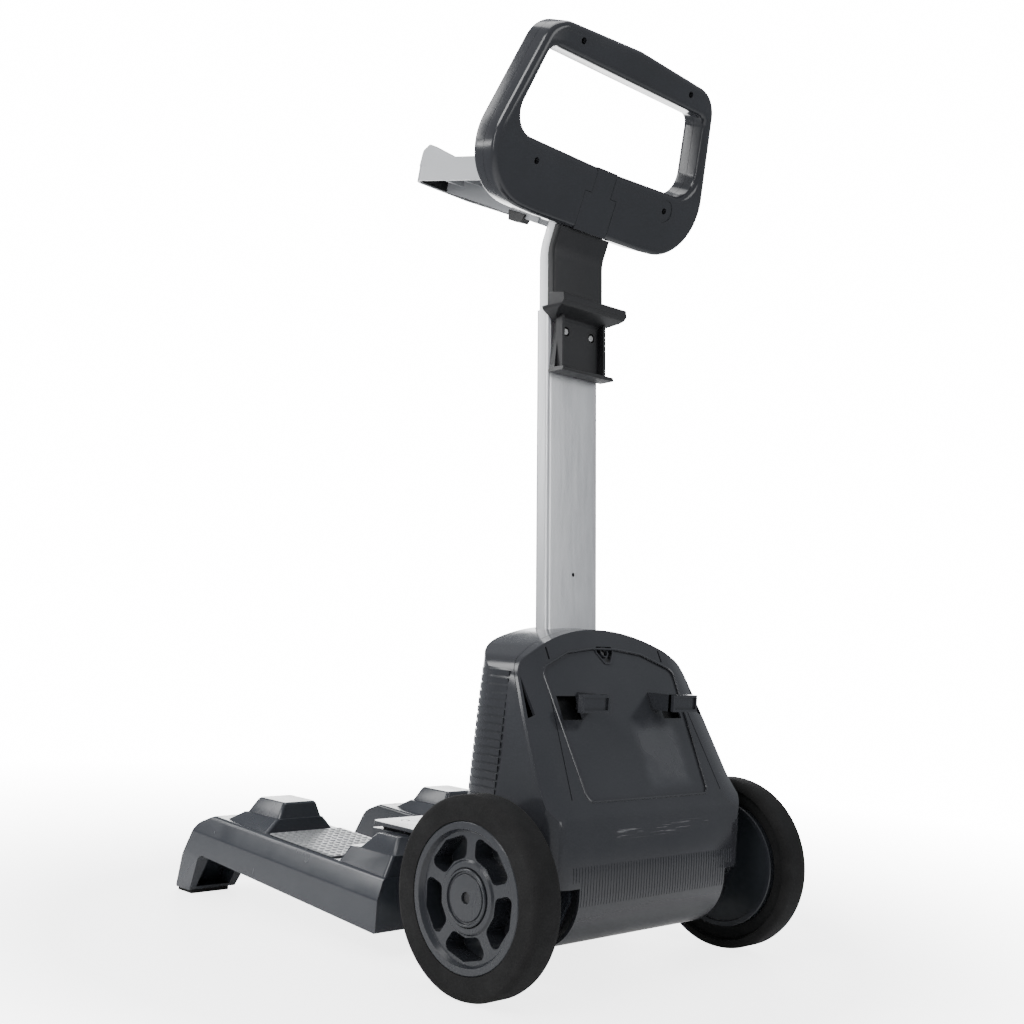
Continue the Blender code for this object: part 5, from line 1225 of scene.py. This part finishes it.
cut(tray_clip, helper(plate("clip_groove", [clip_groove], GUSSET_IN - GAP, GUSSET_OUT + GAP),
                      tray_frame, rotation=FACING_X))


# ---------------------------------------------------------------- deck arms
def deck_top(y):
    return DECK_TOP - math.tan(DECK_TILT) * (y - DECK_TOP_Y)


def skirt(y):
    return SKIRT_Z + math.tan(SKIRT_SLOPE) * (ARM_REAR - y)


def arm_ring(y, inset, floor):
    """Cross section of the left arm at y: vertical inner wall, sloped outer shoulder."""
    top = deck_top(y)
    edge = top - SHOULDER_DROP
    ring = rounded([(ARM_IN + inset, floor, 0.0), (ARM_IN + inset, top - inset, 0.004),
                    (ARM_FLAT - inset, top - inset, 0.006), (ARM_OUT - inset, edge, 0.010),
                    (ARM_OUT - inset, floor, 0.0)], 3)
    return [(x, y, z) for x, z in ring]


LID_HALF = CHASSIS_HALF + 0.0135
for side, sign in SIDES:
    low_x, high_x = sorted((sign * (CHASSIS_HALF - 0.001), sign * LID_HALF))
    cheek = box("chassis_cheek_" + side, (low_x, CHASSIS_FRONT + 0.0005, 0.036),
                (high_x, ARM_REAR + 0.002, CHASSIS_TOP - 0.003))
    join(chassis, helper(cheek))
arm_side = rounded([
    (ARM_REAR, skirt(ARM_REAR), 0.002), (ARM_REAR, 0.16, 0.0), (NOSE_START, 0.16, 0.0),
    (NOSE_START, deck_top(NOSE_START) + 0.0005, 0.0),
    (-0.494, deck_top(NOSE_START) - NOSE_DROP, 0.026), (-0.513, 0.056, 0.040),
    (ARM_FRONT, FOOT_T + GAP, 0.002), (LEG_BACK, FOOT_T + GAP, 0.002),
    (-0.481, skirt(-0.481), 0.014)], 4)
LEG_WALL = 0.0045
leg_hollow_side = [(NOSE_START + 0.010, FOOT_T + GAP + LEG_WALL),
                   (ARM_FRONT + 0.0085, FOOT_T + GAP + LEG_WALL), (-0.508, 0.054),
                   (-0.491, 0.072), (NOSE_START - 0.002, 0.082), (NOSE_START + 0.010, 0.082)]


def chock(name, parent_arm, levels, sign):
    """A stepped block: a list of (x_in, x_out, y_front, y_rear, z) rectangles, base first."""
    rings = []
    for x_in, x_out, y_front, y_rear, z in levels:
        rings.append([(x * sign, y, z) for x, y in rounded(
            [(x_in, y_front, 0.004), (x_out, y_front, 0.004), (x_out, y_rear, 0.004),
             (x_in, y_rear, 0.004)], 2)])
    join(parent_arm, helper(loft(name, rings)))


for side, sign in SIDES:
    arm = loft("deck_arm_" + side, [[(x * sign, y, z) for x, y, z in arm_ring(y, 0.0, -0.02)]
                                    for y in (ARM_FRONT - 0.02, ARM_REAR)])
    place(arm, SATIN, datum)
    trim(arm, helper(plate("arm_side_" + side, [arm_side], -0.25, 0.25), rotation=FACING_X))
    hollow = helper(loft("arm_hollow_" + side,
                         [[(x * sign, y, z) for x, y, z in arm_ring(y, ARM_WALL, -0.05)]
                          for y in (-0.466, ARM_REAR - ARM_WALL)]))
    low_x, high_x = sorted((sign * (ARM_IN + 0.054), sign * (ARM_OUT - LEG_TAPER - LEG_WALL)))
    leg_hollow = helper(plate("leg_hollow_" + side, [leg_hollow_side], low_x, high_x),
                        rotation=FACING_X)
    join(hollow, leg_hollow)
    cut(arm, hollow)
    low_x, high_x = sorted((sign * (ARM_IN + 0.001), sign * (LID_HALF + GAP + ARM_WALL)))
    wall_block = box("arm_corner_" + side, (low_x, CHASSIS_FRONT - 0.009, skirt(-0.2)),
                     (high_x, ARM_REAR - 0.001, 0.083))
    join(arm, helper(wall_block))
    low_x, high_x = sorted((0.0, sign * (LID_HALF + GAP)))
    seat = box("arm_seat_" + side, (low_x, CHASSIS_FRONT - 0.0052, -0.05), (high_x, 0.0, 0.2))
    taper = [(ARM_OUT - LEG_TAPER, -0.01), (ARM_OUT + 0.001, 0.052), (ARM_OUT + 0.03, 0.052),
             (ARM_OUT + 0.03, -0.01)]
    taper = [(x * sign, z) for x, z in taper]
    leg_cut = plate("leg_taper_" + side, [taper], 0.47, 0.60)
    leg_room = [(ARM_IN - 0.01, -0.05), (ARM_IN - 0.01, 0.040), (ARM_IN + 0.040, 0.040),
                (ARM_IN + 0.050, -0.05)]
    leg_room = [(x * sign, z) for x, z in leg_room]
    leg_side = plate("leg_room_" + side, [leg_room], 0.455, 0.60)
    lower = [(0.080, 0.183, -0.462, -0.3655, deck_top(-0.36) - 0.003),
             (0.0965, 0.1635, -0.436, -0.3680, CHOCK_STEP_Z),
             (0.0990, 0.1605, -0.4325, -0.3690, CHOCK_STEP_Z + 0.0006),
             (0.1050, 0.1535, -0.4240, -0.3720, CHOCK_TOP_Z - 0.002),
             (0.1070, 0.1515, -0.4220, -0.3740, CHOCK_TOP_Z)]
    chock("chock_" + side, arm, lower, sign)
    stop_in = LID_HALF + GAP + 0.0005
    rear = [(stop_in, 0.183, -0.240, -0.1550, deck_top(-0.16) - 0.006),
            (stop_in, 0.1705, -0.2275, -0.1560, STOP_STEP_Z),
            (stop_in, 0.1685, -0.2130, -0.1575, STOP_STEP_Z + 0.0008),
            (stop_in, 0.1545, -0.2060, -0.1690, STOP_TOP_Z - 0.0015),
            (stop_in, 0.1530, -0.2045, -0.1705, STOP_TOP_Z)]
    chock("rear_stop_" + side, arm, rear, sign)
    cut(arm, helper(seat), helper(leg_cut, rotation=FACING_Y), helper(leg_side, rotation=FACING_Y))
    pad_low, pad_high = sorted((sign * (ARM_IN + 0.004), sign * (ARM_FLAT - 0.004)))
    pad_outline = rounded([(pad_low, -0.362, 0.003), (pad_high, -0.362, 0.003),
                           (pad_high, -0.2455, 0.003), (pad_low, -0.2455, 0.003)], 2)
    pad = plate("grip_pad_" + side, [pad_outline], GAP, GAP + PAD_T)
    pad_plane = empty("pad_plane_" + side, (0.0, 0.0, deck_top(0.0)), (-DECK_TILT, 0.0, 0.0), datum)
    place(pad, GRIP, pad_plane)
    for k, y in enumerate((-0.212, -0.178)):
        spot = (y, 0.068)
        wall_x = LID_HALF + GAP + ARM_WALL
        way = drill("arm_bolt_way_%s_%d" % (side, k + 1), 0.0033, sign * 0.09, sign * (wall_x + 0.01),
                    "X", spot, 12)
        cut(arm, way)
        cut(chassis, way)
        screw_piece("arm_bolt_%s_%d" % (side, k + 1), 0.0062, 0.0035, 0.0030, 0.034, STEEL, datum,
                    (sign * (wall_x + GAP + 0.0035), *spot), (0, sign * math.pi / 2, 0))

# ---------------------------------------------------------------- lid
lid_outline = rounded([(LID_HALF, CHASSIS_FRONT - 0.003, 0.010), (LID_HALF, -0.150, 0.004),
                       (-LID_HALF, -0.150, 0.004), (-LID_HALF, CHASSIS_FRONT - 0.003, 0.010)], 4)
lid = plate("chassis_lid", [lid_outline], CHASSIS_TOP + GAP, CHASSIS_TOP + 0.0045)
place(lid, SATIN, datum)
for side, sign in SIDES:
    for k, y in enumerate((-0.220, -0.165)):
        spot = (sign * 0.100, y)
        name = "%s_%d" % (side, k + 1)
        way = drill("lid_way_" + name, 0.0022, CHASSIS_TOP - 0.02, CHASSIS_TOP + 0.01, "Z", spot, 12)
        sink = drill("lid_sink_" + name, 0.0050, CHASSIS_TOP + 0.0022, CHASSIS_TOP + 0.01, "Z", spot, 16)
        cut(lid, way, sink)
        cut(chassis, way)
        screw_piece("lid_screw_" + name, 0.0042, 0.0020, 0.0018, 0.012, STEEL, datum,
                    (*spot, CHASSIS_TOP + 0.0022 + GAP + 0.0020), (0, 0, 0))


# ---------------------------------------------------------------- moulded details
DETAILS = []


def detail(made, paint, body="frame"):
    """A moulded detail that rides beside the piece it belongs to."""
    DETAILS.append((made, paint, body))
    return made


def swept(shape, path, normals, ups, section):
    """Adds a closed bar along path: section is a list of (outward, upward) offsets."""
    rings = []
    for point, normal, rise in zip(path, normals, ups):
        rings.append([shape.verts.new(Vector(point) + normal * o + rise * u) for o, u in section])
    for first, second in zip(rings, rings[1:]):
        for i in range(len(section)):
            shape.faces.new((first[i - 1], first[i], second[i], second[i - 1]))
    shape.faces.new(rings[0])
    shape.faces.new(rings[-1])


RIB_COUNT = 17
RIB_LOW, RIB_HIGH = 0.176, 0.302
RIB_SECTION = [(-0.0010, -0.0029), (0.0010, -0.0028), (0.0024, -0.0021), (0.0031, -0.0007), (0.0031, 0.0007),
               (0.0024, 0.0021), (0.0010, 0.0028), (-0.0010, 0.0029)]
for side, sign in SIDES:
    shape = bmesh.new()
    for k in range(RIB_COUNT):
        z = RIB_LOW + (RIB_HIGH - RIB_LOW) * k / (RIB_COUNT - 1)
        ring = [Vector((abs(x), y, z)) for x, y, z in housing_ring(z, 0.0) if x > 0]
        wide, corner = ring[0], ring[1:]
        start = corner[0].lerp(wide, (corner[0].y + 0.037) / (corner[0].y - wide.y))
        path = [start] + corner
        path.append(path[-1] + Vector((-0.012, 0.0, 0.0)))
        path = [Vector((p.x * sign, p.y, p.z)) for p in path]
        normals = []
        for i in range(len(path)):
            along = path[min(i + 1, len(path) - 1)] - path[max(i - 1, 0)]
            normals.append(Vector((-along.y, along.x, 0.0)).normalized() * -sign)
        swept(shape, path, normals, [Vector((0.0, 0.0, 1.0))] * len(path), RIB_SECTION)
    made = mesh_object("housing_ribs_" + side, shape)
    detail(helper(made), GLOSS)

# Fine upright ribs across the rolled lower part of the rear cover.
BAND_HALF, BAND_PITCH, BAND_LOW, BAND_HIGH = 0.127, 0.0043, 0.086, 0.124
surface = [Vector((0.0, y, z)) for y, z in cover_profile(0.0) if BAND_LOW - 0.03 < z < BAND_HIGH + 0.05]


def on_cover(z):
    """The rear cover's outer face at a height, with its outward normal."""
    for upper, lower in zip(surface, surface[1:]):
        if lower.z <= z <= upper.z:
            share = (upper.z - z) / (upper.z - lower.z)
            run = lower - upper
            return upper.lerp(lower, share), Vector((0.0, -run.z, run.y)).normalized()
    return surface[-1].copy(), Vector((0.0, 1.0, 0.0))


shape = bmesh.new()
count = int(2 * BAND_HALF / BAND_PITCH)
for k in range(count + 1):
    x = -BAND_HALF + k * BAND_PITCH
    path, normals = [], []
    for i in range(9):
        spot, out_of = on_cover(BAND_LOW + (BAND_HIGH - BAND_LOW) * i / 8)
        path.append(Vector((x, spot.y, spot.z)))
        normals.append(out_of)
    if abs(x) > BARREL_HALF - 0.002:
        path, normals = path[5:], normals[5:]
    swept(shape, path, normals, [Vector((1.0, 0.0, 0.0))] * len(path),
          [(-0.0006, -0.0009), (0.0004, -0.0006), (0.0004, 0.0006), (-0.0006, 0.0009)])
detail(helper(mesh_object("cover_rib_band", shape)), GLOSS)


def bead(name, outline, radius, parent, paint, height=0.0, closed=True, body="frame"):
    """A thin half-sunk moulded line along an outline in the parent's XY plane."""
    curve = bpy.data.curves.new(name, "CURVE")
    curve.dimensions = "3D"
    curve.bevel_depth = radius
    curve.bevel_resolution = 2
    curve.use_fill_caps = True
    spline = curve.splines.new("POLY")
    spline.points.add(len(outline) - 1)
    for point, (x, y) in zip(spline.points, outline):
        point.co = (x, y, height, 1.0)
    spline.use_cyclic_u = closed
    carrier = bpy.data.objects.new(name + "_curve", curve)
    tools.objects.link(carrier)
    bpy.context.view_layer.update()
    data = bpy.data.meshes.new_from_object(carrier.evaluated_get(bpy.context.evaluated_depsgraph_get()))
    bpy.data.objects.remove(carrier, do_unlink=True)
    shape = bmesh.new()
    shape.from_mesh(data)
    return detail(helper(mesh_object(name, shape), parent), paint, body)


bead("recess_bead", recess_outline, 0.0012, panel, GLOSS, 0.0002)

# Painted shade: a matte black disc on the floor of each hub cap's shallow centre hole, standing in for the
# dark of a deep hole.
for side, sign in SIDES:
    spot = TRACK_OUT - 0.0015 - 0.0008 - 0.0042
    ends = sorted((sign * (spot + 0.0002), sign * (spot + 0.0008)))
    hole = rod("cap_hole_" + side, 0.0049, ends[0], ends[1], "X", (0.0, WHEEL_R), 16)
    detail(helper(hole), MATTE, "wheel_" + side)

# Closed ends of the rolled bottom, seen through the corner openings.
for side, sign in SIDES:
    ends = sorted((sign * (BARREL_HALF - 0.003), sign * (BARREL_HALF - 0.001)))
    plug = rod("barrel_end_" + side, BARREL_R - SHELL_WALL - GAP, ends[0], ends[1], "X",
               (BARREL_Y, WHEEL_R), 32)
    helper(plug)
    trim(plug, helper(box("barrel_end_limit_" + side, (-0.2, -0.012, 0.0), (0.2, 0.1, 0.2))))
    detail(plug, MATTE)

# Painted shade: a matte black lining over the inside of the light grey tray, and finer ribs between the
# moulded ones painted the same black, so the underside reads as shaded.
shell = plate("tray_lining", [under], -TRAY_HEIGHT + 0.0015, -TRAY_WALL - 0.0001, offset=-0.0002)
trim_out = plate("tray_lining_room", [under], -0.1, -TRAY_WALL - 0.0010, offset=-0.0012)
helper(shell, tray_frame)
cut(shell, helper(trim_out, tray_frame))
detail(shell, MATTE)
for k in range(9):
    x = -0.084 + 0.021 * k
    fine_rib = box("tray_shade_rib_%d" % (k + 1), (x - 0.0008, -TRAY_LENGTH + 0.002, -TRAY_HEIGHT + 0.010),
                   (x + 0.0008, -0.024, -TRAY_WALL - 0.0005))
    detail(helper(fine_rib, tray_frame), MATTE)

# Painted shade: a matte black liner behind the openings, inside the housing, standing in for the dark void
# seen through them.
liner = box("housing_shade_liner", (-0.124, up_panel(0.205), 0.0135), (0.124, up_panel(0.322), 0.0150))
detail(helper(liner, panel), MATTE)

# Raised studs of the anti-slip sheets.
for side, sign in SIDES:
    shape = bmesh.new()
    for i in range(11):
        for j in range(12):
            x = sign * (ARM_IN + 0.0105 + i * 0.0094)
            y = -0.3560 + j * 0.0096
            bmesh.ops.create_cone(shape, cap_ends=True, segments=8, radius1=0.0036, radius2=0.0024,
                                  depth=0.0012,
                                  matrix=Matrix.Translation((x, y, GAP + PAD_T + 0.0004)))
    made = mesh_object("grip_studs_" + side, shape)
    detail(helper(made, bpy.data.objects["pad_plane_" + side]), GRIP)

# ---------------------------------------------------------------- finished pieces
BODY_OF = {n: body for body, members in frame["record"]["behaviour"]["bodies"].items() for n in members}
EASE = {"handle_rear_shell": 0.0005, "handle_front_shell": 0.0005, "mast_lower_tube": 0.0003,
        "mast_upper_tube": 0.0003, "rear_cover": 0.0009, "front_housing": 0.0010,
        "deck_arm_left": 0.0016, "deck_arm_right": 0.0016, "tray": 0.0006}


def finished(made, name):
    """The evaluated mesh in world space, cleaned, as a new object in the scene."""
    bpy.context.view_layer.update()
    graph = bpy.context.evaluated_depsgraph_get()
    data = bpy.data.meshes.new_from_object(made.evaluated_get(graph))
    data.transform(made.matrix_world)
    shape = bmesh.new()
    shape.from_mesh(data)
    bmesh.ops.remove_doubles(shape, verts=shape.verts, dist=0.000004)
    bmesh.ops.dissolve_limit(shape, angle_limit=math.radians(0.4), verts=shape.verts,
                             edges=shape.edges)
    bmesh.ops.recalc_face_normals(shape, faces=shape.faces)
    shape.to_mesh(data)
    shape.free()
    data.materials.clear()
    piece = bpy.data.objects.new(name, data)
    scene.collection.objects.link(piece)
    return piece


def ease_edges(piece, width, angle=32.0, segments=2):
    ease = piece.modifiers.new("ease", "BEVEL")
    ease.width = width
    ease.segments = segments
    ease.limit_method = "ANGLE"
    ease.angle_limit = math.radians(angle)
    ease.use_clamp_overlap = True
    ease.harden_normals = True
    piece.data.shade_smooth()
    piece.data.set_sharp_from_angle(angle=math.radians(60.0))


for node, cad in NODES.items():
    slot = SLOT_OF[node]
    if node in FRESH:
        source, paint = FRESH[node]
        piece = finished(source, "skin_" + node)
        piece.data.materials.append(paint)
        ease_edges(piece, EASE.get(node, 0.0004))
        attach(piece, BODY_OF[node])
        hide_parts(node)
    else:
        cad.data.materials.clear()
        cad.data.materials.append(BY_SLOT[slot])
        cad.data.shade_smooth()
        cad.data.set_sharp_from_angle(angle=math.radians(30.0))
for made, paint, body in DETAILS:
    piece = finished(made, "detail_" + made.name.split(".")[0])
    piece.data.materials.append(paint)
    piece.data.shade_smooth()
    piece.data.set_sharp_from_angle(angle=math.radians(40.0))
    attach(piece, body)
for made in list(tools.objects):
    bpy.data.objects.remove(made, do_unlink=True)
